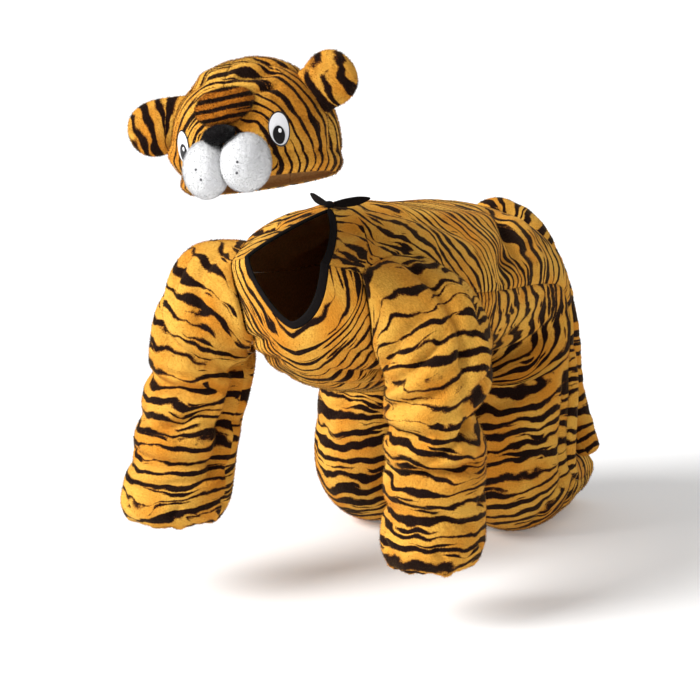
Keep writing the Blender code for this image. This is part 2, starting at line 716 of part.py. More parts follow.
def hat_half(name, side, look):
    """Half of the hat's crown, on a square grid that is rounded to half a disc."""
    across, along = np.meshgrid(
        np.linspace(0, 1, HAT_CROSS_ROWS + 1),
        np.linspace(1, -1, HAT_LONG_ROWS + 1),
        indexing="ij",
    )
    front = along * np.sqrt(1 - across**2 / 2)
    lateral = across * np.sqrt(1 - along**2 / 2)
    azimuth = np.arctan2(lateral, front)
    rim = np.radians(HAT_RIM + HAT_RIM_CHANGE * np.cos(azimuth))
    reach = np.hypot(front, lateral)
    elevation = math.pi / 2 - reach * (math.pi / 2 - rim)
    outer = on_hat(side, azimuth, elevation, np.zeros(azimuth.shape))
    inner = on_hat(side, azimuth, elevation, np.full(azimuth.shape, -HAT_CLOTH))
    keep = np.arange(inner.shape[0])[:, None] == 0
    inner = np.where(keep[..., None], on_middle(inner, side), inner)
    wall(name, outer, inner, look)


def on_middle(points, side):
    """Points brought onto the hat's middle plane, less half a seam."""
    left = hat_axes()[0]
    over = (points - HAT_CENTRE) @ left - side * SEAM / 2
    return points - over[..., None] * left


def hat_pad(name, side, place, profile, look, slope=0.0, droop=0.0, split=False):
    """A piece on the hat, made from the hat's own points moved out."""
    middle, height, half_width, half_height = place
    rings = []
    turn = round_turns(PAD_COLUMNS)
    for share, lift in profile:
        rise = np.where(lift > SEAM, lift * (1 - slope * share * np.sin(turn)), lift)
        radius = HAT_RADIUS + rise
        up = height - droop * lift + half_height * share * np.sin(turn)
        out = middle + half_width * share * np.cos(turn)
        if split:
            out = np.maximum(out, 0)
        elevation = up / radius
        azimuth = out / (radius * np.cos(elevation))
        rings.append(on_hat_both(side, azimuth, elevation, rise))
    ends = []
    for lift in (profile[0][1], profile[-1][1]):
        radius = HAT_RADIUS + lift
        elevation = np.array((height - droop * lift) / radius)
        azimuth = middle / (radius * np.cos(elevation))
        ends.append(on_hat_both(side, azimuth, elevation, np.array(lift)))
    pod(name, rings, look, start=ends[0], end=ends[1])


def on_hat_both(side, azimuth, elevation, height):
    """Points over the hat without the seam's shift where a piece lies over the middle."""
    points = on_hat(side, azimuth, elevation, height)
    if side == 0:
        points = on_hat(1, azimuth, elevation, height) - SEAM / 2 * hat_axes()[0]
    return points


def hat_ear(name, side, lift, size, look):
    left, front, up = hat_axes()
    azimuth = math.radians(EAR_AZIMUTH)
    elevation = math.radians(EAR_ELEVATION)
    base = on_hat(side, np.array(azimuth), np.array(elevation), np.array(0.0))
    above = on_hat(side, np.array(azimuth), np.array(elevation + 0.1), np.array(0.0))
    slope = unit(above - base)
    lift = math.radians(lift)
    along = math.cos(lift) * side * left + math.sin(lift) * up
    upright = math.cos(lift) * up - math.sin(lift) * side * left
    turn = round_turns(PAD_COLUMNS)
    cos = np.cos(turn)[:, None]
    sin = np.sin(turn)[:, None]
    rings = []
    for share in EAR_BASE_SHARES:
        foot = base + share * (EAR_BASE_WIDTH * cos * slope + EAR_BASE_THICK * sin * front)
        local = (foot - HAT_CENTRE) @ hat_axes().T
        foot_azimuth = np.arctan2(side * local[:, 0] / HAT_HALF_WIDTH, local[:, 1] / HAT_HALF_FRONT)
        level = np.hypot(local[:, 0] / HAT_HALF_WIDTH, local[:, 1] / HAT_HALF_FRONT)
        foot_elevation = np.arctan2(local[:, 2] / HAT_HEIGHT, level)
        rings.append(on_hat(side, foot_azimuth, foot_elevation, np.full(turn.shape, EAR_LIFT)))
    start = on_hat(side, np.array(azimuth), np.array(elevation), np.array(EAR_LIFT))
    for _name, length, half_width, half_thick in EAR:
        blend = min(length / EAR_TURN, 1)
        broad = unit((1 - blend) * slope + blend * upright)
        rings.append(base + size * length * along + half_width * cos * broad + half_thick * sin * front)
    pod(name, rings, look, start=start)


def make_hat(plush, deep, white, black):
    for side, name, lift, size in (
        (1, "left", LEFT_EAR_LIFT, LEFT_EAR_SIZE),
        (-1, "right", RIGHT_EAR_LIFT, RIGHT_EAR_SIZE),
    ):
        hat_half(f"hat_{name}", side, plush)
        hat_ear(f"ear_{name}", side, lift, size, plush)
        hat_pad(f"eye_{name}", side, EYE, EYE_PROFILE, white)
        hat_pad(f"pupil_{name}", side, PUPIL, PUPIL_PROFILE, black)
        hat_pad(f"muzzle_{name}", side, MUZZLE, MUZZLE_PROFILE, white, droop=MUZZLE_DROOP, split=True)
    hat_pad("nose_bridge", 0, BRIDGE, BRIDGE_PROFILE, deep, slope=BRIDGE_SLOPE)
    hat_pad("nose", 0, NOSE, NOSE_PROFILE, black)


def neckline(turn, out, lift):
    """Points beyond the neck edge of the body's cloth."""
    body = cloth_body(BODY + LEFT_LEG, ())
    at = np.full(turn.shape, 0.0)
    edge = body(at, turn)
    ahead = unit(body(at + NECK_STEP, turn) - edge)
    normal = facing(body, at + NECK_STEP / 2, turn)
    return edge - out * ahead + lift * normal


def make_neck(black):
    quarter = np.linspace(0, math.pi / 2, PANEL_COLUMNS)
    half = np.concatenate([[math.pi / 2 - NAPE_GAP], quarter[-2::-1], -quarter[1:]])
    left = np.stack([neckline(half, out, lift) for out, lift in BINDING_SECTION], 1)
    left[:-1, :, 0] = np.maximum(left[:-1, :, 0], 2 * SEAM)
    right = placed(left, -1)
    left = placed(left, 1)
    pod("neck_binding", [*left, *right[-2::-1]], black)
    _edge, (out, lift) = BINDING_SECTION[:2]
    nape = placed(neckline(np.array([math.pi / 2]), out, lift), 1)[0]
    centre = nape + np.array((0.0, 0.15, KNOT_SIZE[2] + KNOT_LIFT))
    turn = round_turns(KNOT_COLUMNS)
    rings = []
    for level in KNOT_LEVELS:
        wide = math.sqrt(1 - level**2)
        circle = np.stack([wide * np.cos(turn), wide * np.sin(turn), np.full(turn.shape, level)], -1)
        rings.append(centre + circle * KNOT_SIZE)
    below = centre - np.array((0.0, 0.0, KNOT_SIZE[2]))
    above = centre + np.array((0.0, 0.0, KNOT_SIZE[2]))
    pod("neck_knot", rings, black, start=below, end=above)
    for side, name in ((1, "left"), (-1, "right")):
        along = unit(np.array((side * 1.0, 0.5, 0.12)))
        across = unit(np.cross(along, TIE_FACE))
        normal = np.cross(along, across)
        start = centre + along * (KNOT_SIZE[0] + TIE_GAP)
        rings = []
        for _name, length, half_width in TIE:
            middle = start + length * along - TIE_DROOP * length**2 * normal
            rings.append(np.array([
                middle + half_width * across,
                middle + TIE_THICK / 2 * normal,
                middle - half_width * across,
                middle - TIE_THICK / 2 * normal,
            ]))
        pod(f"neck_tie_{name}", rings, black)


def main():
    for old in list(bpy.data.objects):
        bpy.data.objects.remove(old, do_unlink=True)
    plush = material("tiger_plush", PLUSH)
    deep = material("deep_plush", DEEP_PLUSH)
    white = material("white_plush", WHITE)
    black = material("black_cloth", BLACK)
    make_jumpsuit(plush)
    make_tail(plush)
    make_neck(black)
    make_hat(plush, deep, white, black)


main()
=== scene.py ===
"""Looks of the tiger costume: plush jumpsuit, stuffed tail and tiger head hat.

Tables are in centimetres in the floor frame, as in the part's source: x to the wearer's left,
y to the rear, z up. Objects are in metres, with their origin at the hold point.
"""

import math

import bmesh
import bpy
import numpy as np
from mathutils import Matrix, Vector


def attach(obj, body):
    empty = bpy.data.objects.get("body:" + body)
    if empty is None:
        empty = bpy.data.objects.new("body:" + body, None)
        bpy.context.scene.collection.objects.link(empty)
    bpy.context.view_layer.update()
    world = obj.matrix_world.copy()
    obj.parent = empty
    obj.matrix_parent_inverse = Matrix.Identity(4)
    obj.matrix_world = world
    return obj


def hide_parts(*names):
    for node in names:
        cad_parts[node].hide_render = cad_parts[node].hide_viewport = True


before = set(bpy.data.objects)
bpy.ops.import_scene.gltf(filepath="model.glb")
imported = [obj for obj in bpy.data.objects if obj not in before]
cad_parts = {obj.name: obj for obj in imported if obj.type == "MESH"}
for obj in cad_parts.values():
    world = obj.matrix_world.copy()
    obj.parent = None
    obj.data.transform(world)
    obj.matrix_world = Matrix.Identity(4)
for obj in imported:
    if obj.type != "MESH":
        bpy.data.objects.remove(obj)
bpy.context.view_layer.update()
BODY_NAME = "root"

# Units and driving sizes, in centimetres
CM = 0.01
HOLD = np.array((0.0, -12.0, 40.0))
# Gap at a seam, and the step to either side of it over which both edges share their normals
SEAM = 0.03
SEAM_LOOK = 0.04
# Least way into the armhole, in sections
LEAST = 1e-6
# Depth of a cloth's reverse below its face
SHELL = 0.2
BINDING_WIDTH = 0.9
BINDING_THICK = 0.3
# Half the opening at the nape in radians, and the step in sections that shows the way of the neck
NAPE_GAP = 0.06
NECK_STEP = 0.02
# Points round a sleeve's rings
SLEEVE_TURNS = 112

# Mesh density: rows and columns of the cloth
NECK_ROWS = 14
PANEL_COLUMNS = 52
ARM_ROWS = 60
TRUNK_ROWS = 90
LEG_ROWS = 100
SLEEVE_LONG = 130
SLEEVE_CUFF_ROWS = 40
SLEEVE_ROUND = 120
HAT_ACROSS = 48
HAT_ALONG = 90
PAD_ROUND = 64
PAD_ROWS = 26
EAR_ROWS = 44
TAIL_ROWS = 60
TIE_ROWS = 40
KNOT_ROWS = 19
BINDING_ROUND = 24
BINDING_LONG = 60
# Rings of pads and ears before they are smoothed, and points of a crease
RING_POINTS = 16
CREASE_POINTS = 9
# Points that lie closer than this, in metres, are one
WELD = 2e-6

# Depth and half width of the valley at a seam, and their shares at other edges
SEAM_DEPTH = 0.12
SEAM_HALF = 0.4
MIDDLE_SHARE = 0.6
UNDERARM_SHARE = 0.7
UNDERARM_HALF = 0.3
HEM_DEPTH = 0.12
HEM_HALF = 0.3

# Colours of the cloths, as shown where they are lit
GOLD = (0.86, 0.48, 0.078)
AMBER = (0.74, 0.30, 0.030)
EDGE = (0.20, 0.060, 0.014)
STRIPE = (0.013, 0.0055, 0.0045)
BACKING = (0.50, 0.26, 0.09)
SNOW = (0.90, 0.90, 0.90)
INK = (0.010, 0.009, 0.010)
DEEP = (0.62, 0.22, 0.020)


# Sections of the body, each half an oval about the middle plane:
# centre x, y, z, half width, depth to the back, depth to the front, pitch of the back half and of
# the front half in degrees, power of the back oval and of the front oval
BODY = (
    ("neck", 0.0, -22.8, 40.2, 5.2, 11.3, 7.3, 68, 10, 1.3, 1.6),
    ("yoke", 0.0, -20.5, 39.0, 8.6, 12.0, 8.9, 62, 19, 1.6, 1.7),
    ("shoulder", 0.0, -16.8, 37.6, 11.6, 12.2, 10.9, 55, 26, 1.9, 1.85),
    ("chest", 0.0, -11.5, 36.2, 13.2, 11.4, 12.5, 45, 28, 2.0, 2.0),
    ("ribs", 0.0, -5.2, 35.0, 14.0, 10.1, 13.0, 33, 26, 2.0, 2.0),
    ("waist", 0.0, 1.0, 34.3, 14.4, 9.6, 12.8, 25, 22, 2.0, 2.0),
    ("belly", 0.0, 7.0, 33.8, 14.8, 9.3, 11.7, 22, 22, 2.0, 2.0),
    ("loin", 0.0, 12.0, 33.2, 15.2, 9.6, 10.7, 27, 27, 2.0, 2.0),
    ("hip", 0.0, 16.0, 32.2, 15.5, 9.8, 11.4, 39, 37, 2.0, 2.0),
    ("seat", 0.0, 18.2, 29.6, 15.6, 9.0, 10.1, 58, 51, 2.0, 2.0),
    ("fork", 3.2, 18.4, 26.6, 12.8, 8.6, 9.1, 77, 64, 2.0, 2.0),
)
LEFT_LEG = (
    ("crotch", 8.0, 17.8, 23.2, 8.1, 8.5, 9.2, 88, 75, 2.0, 2.0),
    ("thigh", 8.5, 17.0, 18.6, 8.0, 8.3, 9.3, 90, 85, 2.0, 2.0),
    ("low_thigh", 8.5, 16.5, 13.2, 8.0, 8.2, 9.3, 88, 88, 2.0, 2.0),
    ("knee", 8.5, 17.4, 9.2, 7.9, 7.2, 9.6, 68, 68, 2.0, 2.0),
    ("knee_back", 8.8, 20.6, 6.8, 7.3, 5.2, 8.6, 44, 44, 2.0, 2.0),
    ("calf", 9.1, 25.0, 5.4, 6.4, 4.8, 5.4, 18, 18, 2.0, 2.0),
    ("low_calf", 9.0, 29.4, 5.1, 5.9, 4.6, 4.8, 4, 4, 2.0, 2.0),
    ("bloused", 8.8, 32.8, 5.0, 5.3, 4.5, 4.5, 0, 0, 2.0, 2.0),
    ("hem", 8.8, 33.6, 5.0, 3.9, 3.7, 3.7, 0, 0, 2.0, 2.0),
)
RIGHT_LEG = (
    ("crotch", 8.0, 17.8, 23.2, 8.1, 8.5, 9.2, 88, 75, 2.0, 2.0),
    ("thigh", 8.3, 15.8, 18.6, 7.9, 8.3, 9.3, 92, 85, 2.0, 2.0),
    ("low_thigh", 8.3, 13.8, 13.2, 7.7, 8.4, 9.0, 88, 88, 2.0, 2.0),
    ("knee", 8.4, 13.8, 9.2, 7.6, 7.6, 9.4, 68, 68, 2.0, 2.0),
    ("knee_back", 8.6, 16.6, 6.8, 7.2, 5.6, 8.6, 44, 44, 2.0, 2.0),
    ("calf", 8.8, 21.2, 5.4, 6.2, 5.4, 5.4, 18, 18, 2.0, 2.0),
    ("low_calf", 9.0, 26.0, 5.1, 5.6, 5.2, 4.8, 4, 4, 2.0, 2.0),
    ("bloused", 9.0, 29.4, 5.0, 5.1, 4.9, 4.5, 0, 0, 2.0, 2.0),
    ("hem", 9.0, 30.2, 5.0, 3.8, 3.8, 3.7, 0, 0, 2.0, 2.0),
)
# The neck sits to one side: how far, and where that starts and ends
SWAY = 1.5
SWAY_START = 33.0
SWAY_RISE = 8.0
SWAY_END = 2.0
SWAY_FADE = 12.0

# Armhole, in sections along the body and in radians to the back and to the front
ARM_FRONT_END = 0.85
ARM_REAR_END = 2.85
ARM_BACK = 0.42
ARM_CHEST = 0.85
ARM_SKEW = 0.45
# How far the sleeve's edge stays inside the armhole, in sections and in radians
ARM_INSET_LONG = 0.012
ARM_INSET_TURN = 0.006
ARM_LIFT = 0.07
# The sleeve's own gap to the body, looked for over this many sections and points
ARM_CLEAR = 0.4
SKIN_REACH = 5
SKIN_SAMPLES = 101

# Cap of each sleeve: its place between the armhole and the sleeve, bulge, and its lean in degrees
# Sections of the sleeves: centre x, y, z, half size sideways, half size fore and aft, turn
LEFT_CAP = (0.5, 2.4, 56)
RIGHT_CAP = (0.5, 2.5, 66)
LEFT_SLEEVE = (
    ("upper", 14.0, -16.9, 29.4, 6.0, 6.6, 70),
    ("biceps", 14.0, -17.2, 25.4, 5.8, 6.2, 86),
    ("elbow", 13.9, -17.4, 20.6, 5.6, 5.9, 90),
    ("forearm", 13.9, -17.6, 16.0, 5.6, 5.8, 90),
    ("low_arm", 13.9, -17.8, 12.0, 5.7, 5.8, 90),
    ("bloused", 13.9, -18.0, 9.4, 5.7, 5.8, 90),
    ("fold", 13.8, -18.1, 7.6, 5.0, 5.1, 90),
    ("tuck", 13.8, -18.1, 7.2, 3.9, 4.0, 90),
    ("cuff", 13.8, -18.1, 8.2, 3.1, 3.2, 90),
)
RIGHT_SLEEVE = (
    ("upper", 14.5, -17.4, 30.9, 6.4, 6.5, 58),
    ("biceps", 15.0, -18.4, 26.4, 5.9, 6.4, 80),
    ("elbow", 15.4, -19.6, 22.0, 5.9, 6.2, 90),
    ("forearm", 15.8, -21.0, 17.4, 6.0, 6.2, 90),
    ("low_arm", 16.0, -22.0, 13.8, 6.2, 6.3, 90),
    ("bloused", 16.2, -22.5, 11.4, 6.2, 6.3, 90),
    ("fold", 16.3, -22.6, 9.8, 5.4, 5.4, 90),
    ("tuck", 16.3, -22.6, 9.4, 4.0, 4.0, 90),
    ("cuff", 16.3, -22.6, 10.4, 3.2, 3.2, 90),
)

# Folds: start and end in sections and degrees, half width, depth; a negative depth is a ridge
LEFT_BODY_FOLDS = (
    ("loin_fold", 6.9, 66, 4.6, 4, 1.3, 1.1),
    ("knee_pit", 14.0, 60, 14.0, 150, 1.3, 1.0),
    ("thigh_back", 11.0, 40, 13.6, 30, 1.2, 0.7),
)
RIGHT_BODY_FOLDS = (
    ("loin_fold", 6.6, 60, 4.6, 6, 1.4, 0.9),
    ("knee_pit", 14.0, 60, 14.0, 150, 1.3, 1.0),
)
LEFT_SLEEVE_FOLDS = (
    ("upper_drag", 1.2, 60, 2.6, 170, 1.1, 0.8),
    ("lower_drag", 2.0, 40, 3.4, 160, 1.1, 0.8),
    ("ring_high", 3.5, 100, 3.7, 280, 0.9, 0.8),
    ("ring_mid", 4.4, 60, 4.5, 260, 0.9, 0.7),
    ("ring_low", 5.5, 130, 5.6, 330, 0.9, 0.7),
)
RIGHT_SLEEVE_FOLDS = (
    ("upper_drag", 1.3, 60, 2.7, 190, 1.1, 0.8),
    ("ring_high", 3.2, 60, 3.4, 240, 0.9, 0.8),
    ("ring_mid", 4.2, 100, 4.3, 300, 0.9, 0.8),
    ("ring_low", 5.4, 90, 5.5, 280, 0.9, 0.8),
)
CUFF_GATHERS = 8
CUFF_GATHER_DEPTH = 0.28
HEM_GATHERS = 8
HEM_GATHER_DEPTH = 0.25
# Where the gathers start, in sections back from the cuff or hem, and over how many they deepen
CUFF_GATHER_START = 3.4
CUFF_GATHER_RUN = 1.6
HEM_GATHER_START = 2.2
HEM_GATHER_RUN = 1.2

# Tail: where it is sewn on, in sections and degrees, and its centre x, y, z and radius
TAIL_ROOT_AT = 8.7
TAIL_ROOT_TURN = 90
TAIL_ROOT_RADIUS = 1.7
TAIL = (
    ("stem", 0.5, 26.7, 38.0, 2.0),
    ("rise", 2.0, 28.4, 38.5, 2.2),
    ("turn", 5.4, 29.6, 36.2, 2.3),
    ("fall", 8.4, 29.6, 31.2, 2.3),
    ("hang", 10.4, 29.0, 25.4, 2.3),
    ("low", 11.3, 28.4, 20.2, 2.3),
    ("knee", 12.1, 28.0, 15.4, 2.3),
    ("end", 13.6, 27.5, 12.0, 2.2),
    ("tip", 15.6, 27.1, 8.9, 1.5),
)
TAIL_LIFT = 0.02

# Hat: centre, half sizes and tilt in degrees
HAT_CENTRE = np.array((-1.8, -28.3, 53.4))
HAT_HALF_WIDTH = 8.6
HAT_HALF_FRONT = 9.2
HAT_HALF_BACK = 9.6
HAT_HEIGHT = 8.8
HAT_DEPTH = 10.0
HAT_YAW = 11
HAT_ROLL = 12
# Elevation of the hat's lower edge at its sides, and its change to the front and back
HAT_RIM = -26
HAT_RIM_CHANGE = 8.5
# Radius on which places on the hat are measured along its cloth
HAT_RADIUS = 9.0

# Pieces on the hat: place across and up from the front, half width, half height
EYE = (5.85, 1.35, 1.1, 1.7)
PUPIL = (5.75, 0.75, 0.62, 0.9)
GLINT = (5.95, 1.15, 0.17, 0.22)
BRIDGE = (0.15, 5.0, 3.3, 2.1)
NOSE = (0.0, 2.05, 1.5, 0.78)
MUZZLE = (2.2, -0.6, 2.5, 2.6)
# Their profiles from the underside to the top: share of the outline and height over the cloth
EYE_PROFILE = ((0.5, 0.03), (1.0, 0.03), (1.0, 0.13), (0.5, 0.16))
PUPIL_PROFILE = ((1.0, 0.19), (1.0, 0.24), (0.5, 0.26))
GLINT_PROFILE = ((1.0, 0.27), (1.0, 0.29), (0.5, 0.31))
BRIDGE_PROFILE = (
    (0.35, 0.03), (0.7, 0.03), (0.97, 0.03), (1.0, 0.35), (0.88, 0.7), (0.62, 0.95), (0.3, 1.05),
)
BRIDGE_SLOPE = 0.45
MUZZLE_DROOP = 0.3
NOSE_PROFILE = ((0.4, 0.03), (0.8, 0.03), (0.9, 0.9), (1.0, 1.7), (0.95, 2.3), (0.65, 2.7), (0.3, 2.85))
MUZZLE_PROFILE = (
    (0.4, 0.03), (0.78, 0.03), (0.93, 0.6), (1.0, 1.4), (0.98, 2.2), (0.86, 3.0), (0.6, 3.6), (0.3, 3.9)
)
# Tip of a pad: share of its last ring and part of a step beyond it; the same for an ear
PAD_TIP = 0.4
PAD_TIP_STEP = 0.02
EAR_TIP = 0.35
EAR_TIP_STEP = 0.08
# Whisker knots: place across and up from the middle of a muzzle, as shares of it, and radius
WHISKER_KNOTS = ((0.10, 0.30), (-0.05, -0.30))
KNOT_RADIUS = 0.13
KNOT_NEAREST = 24
# Ears: place on the hat in degrees, then length along, half width and half thickness
EAR_AZIMUTH = 82
EAR_ELEVATION = 27
LEFT_EAR_LIFT = 28
RIGHT_EAR_LIFT = -12
LEFT_EAR_SIZE = 0.86
RIGHT_EAR_SIZE = 1.0
EAR_LIFT = 0.06
EAR = (
    ("low", 0.9, 2.6, 1.0),
    ("body", 2.0, 2.8, 1.2),
    ("broad", 3.2, 2.8, 1.2),
    ("round", 4.4, 2.4, 1.0),
    ("high", 5.2, 1.7, 0.8),
    ("tip", 5.6, 0.9, 0.5),
)
EAR_BASE_WIDTH = 2.6
EAR_BASE_THICK = 0.85
EAR_BASE_SHARES = (0.35, 0.7, 1.0)
EAR_TURN = 2.5

# Ties at the nape: length and half width of each leaf
TIE = (
    ("root", 0.0, 0.28),
    ("swell", 1.2, 0.5),
    ("leaf", 2.6, 0.52),
    ("narrow", 3.6, 0.3),
    ("point", 4.1, 0.08),
)
TIE_THICK = 0.14
TIE_DROOP = 0.04
TIE_FACE = np.array((-0.4, 0.85, 0.2))
KNOT_LIFT = 0.04
KNOT_SIZE = np.array((0.62, 0.5, 0.42))
TIE_GAP = 0.01


def eased(before, start, end, after, part):
    """Smooth curve from start to end, led by the values on either side."""
    square = part * part
    cube = square * part
    return (
        (2 * cube - 3 * square + 1) * start
        + (cube - 2 * square + part) * (end - before) / 2
        + (3 * square - 2 * cube) * end
        + (cube - square) * (after - start) / 2
    )


def spline(rows, at):
    """Read the numbers of a table between its rows, on a smooth curve through them."""
    rows = np.asarray(rows, float)
    last = len(rows) - 1
    at = np.clip(np.asarray(at, float), 0, last)
    low = np.minimum(at.astype(int), last - 1)
    near = [rows[np.clip(low + step, 0, last)] for step in (-1, 0, 1, 2)]
    return eased(*near, (at - low)[..., None])


def numbers(table):
    """The number columns of a table whose first column is a name."""
    return [row[1:] for row in table]


def unit(vectors):
    """Vectors at length 1."""
    return vectors / np.maximum(np.linalg.norm(vectors, axis=-1, keepdims=True), 1e-9)


def oval(table, at, turn):
    """Point of the body's cloth: sections along, and an angle from the side seam to the back."""
    row = spline(numbers(table), at)
    across, along, up, width, back, front, pitch_back, pitch_front, round_back, round_front = (
        np.moveaxis(row, -1, 0)
    )
    cos = np.cos(turn)
    sin = np.sin(turn)
    power = np.where(sin > 0, round_back, round_front)
    x = across + width * np.sign(cos) * np.abs(cos) ** (2 / power)
    depth = np.where(sin > 0, back, front) * np.sign(sin) * np.abs(sin) ** (2 / power)
    pitch = np.radians(np.where(sin > 0, pitch_back, pitch_front))
    return np.stack([x, along + depth * np.sin(pitch), up + depth * np.cos(pitch)], -1)


def facing(point, at, turn, step=0.002):
    """Outward normals of a surface that is given by two numbers."""
    along = point(at + step, turn) - point(at - step, turn)
    round_it = point(at, turn + step) - point(at, turn - step)
    return unit(np.cross(along, round_it))


def folded(points, normals, lines):
    """Points moved along their normals by soft troughs and ridges that follow lines."""
    shift = np.zeros(points.shape[:-1])
    for line, width, depth in lines:
        near = np.full(points.shape[:-1], 1e9)
        place = np.zeros(points.shape[:-1])
        spans = len(line) - 1
        for index in range(spans):
            start = line[index]
            step = line[index + 1] - start
            part = np.clip(((points - start) @ step) / (step @ step), 0, 1)
            gap = np.linalg.norm(points - start - part[..., None] * step, axis=-1)
            closer = gap < near
            near = np.where(closer, gap, near)
            place = np.where(closer, (index + part) / spans, place)
        fade = np.clip(4 * place * (1 - place), 0, 1) ** 0.5
        shift -= depth * fade * np.exp(-((near / width) ** 2))
    return points + normals * shift[..., None]


def fold_lines(point, folds):
    """The lines that folds follow on a surface."""
    lines = []
    for _name, at_start, turn_start, at_end, turn_end, width, depth in folds:
        at = np.linspace(at_start, at_end, 9)
        turn = np.radians(np.linspace(turn_start, turn_end, 9))
        lines.append((point(at, turn), width, depth))
    return lines


def cloth_body(table, folds):
    """The body's cloth with its folds, as a function of section and angle."""

    def plain(at, turn):
        return oval(table, at, turn)

    lines = fold_lines(plain, folds)
    last = len(table) - 1

    def gathered(at, turn):
        points = plain(at, turn)
        normals = facing(plain, at, turn)
        points = folded(points, normals, lines)
        wave = np.clip((at - last + HEM_GATHER_START) / HEM_GATHER_RUN, 0, 1) ** 2
        depth = HEM_GATHER_DEPTH * wave * np.cos(HEM_GATHERS * turn)
        return points + normals * depth[..., None]

    return gathered


def armhole_at(turn):
    """Section of the armhole's edge, which is set back on the chest side."""
    middle = (ARM_FRONT_END + ARM_REAR_END) / 2
    half = (ARM_REAR_END - ARM_FRONT_END) / 2
    return middle + half * np.cos(turn) + ARM_SKEW * np.clip(-np.sin(turn), 0, 1) ** 2


def outside(body, points):
    """Points brought clear of the body's cloth."""
    at = np.linspace(0, SKIN_REACH, SKIN_SAMPLES)
    turn = np.linspace(-math.pi / 2, math.pi / 2, SKIN_SAMPLES)
    at, turn = np.meshgrid(at, turn, indexing="ij")
    skin = body(at, turn).reshape(-1, 3)
    normal = facing(body, at, turn).reshape(-1, 3)
    moved = points.copy()
    for index, point in enumerate(points):
        gap = point - skin
        near = np.argmin((gap * gap).sum(-1))
        short = ARM_CLEAR - gap[near] @ normal[near]
        moved[index] = point + max(short, 0) * normal[near]
    return moved


def sleeve_rings(table, cap, body):
    """The rings that a sleeve's cloth runs through, from the armhole's edge to the cuff."""
    turn = round_turns(SLEEVE_TURNS)
    at = armhole_at(turn) - ARM_INSET_LONG * np.cos(turn)
    reach = np.where(np.sin(turn) > 0, ARM_BACK, ARM_CHEST) - ARM_INSET_TURN
    hole = body(at, reach * np.sin(turn)) + ARM_LIFT * facing(body, at, reach * np.sin(turn))
    rings = []
    for x, y, z, sideways, fore_aft, bend in numbers(table):
        bend = math.radians(bend)
        side_axis = np.array((math.sin(bend), 0.0, math.cos(bend)))
        rear_axis = np.array((0.0, 1.0, 0.0))
        along_side = sideways * np.sin(turn)[:, None] * side_axis
        rings.append(np.array((x, y, z)) + fore_aft * np.cos(turn)[:, None] * rear_axis + along_side)
    share, bulge, lean = cap
    lean = math.radians(lean)
    puff = bulge * ((1 + np.sin(turn)) / 2)[:, None] ** 1.5
    middle_ring = (1 - share) * hole + share * rings[0]
    middle_ring = middle_ring + puff * np.array((math.cos(lean), 0.0, math.sin(lean)))
    return np.stack([hole, outside(body, middle_ring), outside(body, rings[0]), *rings[1:]])


def cloth_sleeve(table, cap, body, folds):
    """A sleeve's cloth, from the armhole's edge to the turned in cuff."""
    rings = sleeve_rings(table, cap, body)
    last = len(rings) - 1

    def plain(at, turn):
        at, turn = np.broadcast_arrays(np.clip(at, 0, last), turn)
        place = turn / (2 * math.pi) * SLEEVE_TURNS % SLEEVE_TURNS
        column = place.astype(int)
        low = np.minimum(at.astype(int), last - 1)

        def around(row):
            row = np.clip(row, 0, last)
            near = [rings[row, (column + step) % SLEEVE_TURNS] for step in (-1, 0, 1, 2)]
            return eased(*near, (place - column)[..., None])

        return eased(*[around(low + step) for step in (-1, 0, 1, 2)], (at - low)[..., None])

    lines = fold_lines(plain, folds)

    def gathered(at, turn):
        points = plain(at, turn)
        normals = -facing(plain, at, turn)
        points = folded(points, normals, lines)
        wave = np.clip((at - last + CUFF_GATHER_START) / CUFF_GATHER_RUN, 0, 1) ** 2
        depth = CUFF_GATHER_DEPTH * wave * np.cos(CUFF_GATHERS * turn)
        return points + normals * depth[..., None]

    return gathered


def tube_normals(grid):
    """Outward normals of a tube's points, from the points beside them."""
    along = np.gradient(grid, axis=0)
    round_it = np.roll(grid, -1, axis=1) - np.roll(grid, 1, axis=1)
    return unit(np.cross(round_it, along))


def round_turns(count):
    """Angles evenly round a ring."""
    return np.arange(count) * 2 * math.pi / count


def placed(points, side):
    """Points of one side on the wearer, with the neck drawn a little to the right."""
    points = points * np.array((side, 1.0, 1.0))
    rise = np.clip((points[..., 2] - SWAY_START) / SWAY_RISE, 0, 1)
    fade = np.clip((SWAY_END - points[..., 1]) / SWAY_FADE, 0, 1)
    smooth = rise**2 * (3 - 2 * rise) * fade**2 * (3 - 2 * fade)
    shift = np.stack([-SWAY * smooth, np.zeros(smooth.shape), np.zeros(smooth.shape)], -1)
    return points + shift


def arm_edge(at, is_back):
    """Angle of the armhole's edge at a section, or none outside it."""
    half = (ARM_REAR_END - ARM_FRONT_END) / 2
    over = at - (ARM_FRONT_END + ARM_REAR_END) / 2
    if is_back:
        cos = over / half
        reach = ARM_BACK
    else:
        root = np.sqrt(np.clip(half**2 - 4 * ARM_SKEW * (over - ARM_SKEW), 0, None))
        cos = (half - root) / (2 * ARM_SKEW)
        reach = ARM_CHEST
    inside = (at > ARM_FRONT_END + LEAST) & (at < ARM_REAR_END - LEAST)
    return np.where(inside, reach * np.sqrt(np.clip(1 - cos**2, 0, 1)), 0)


def middle_edge(table, at, is_back):
    """Angle where the cloth meets the middle plane, or the inseam below the crotch."""
    row = spline(numbers(table), at)
    across, width = row[..., 0], row[..., 3]
    depth = row[..., 4] if is_back else row[..., 5]
    reach = np.clip((SEAM / 2 - across) / width, -1, 1)
    power = row[..., 8] if is_back else row[..., 9]
    cos = np.sign(reach) * np.abs(reach) ** (power / 2)
    return np.minimum(np.arccos(cos), np.pi - SEAM / 2 / depth)


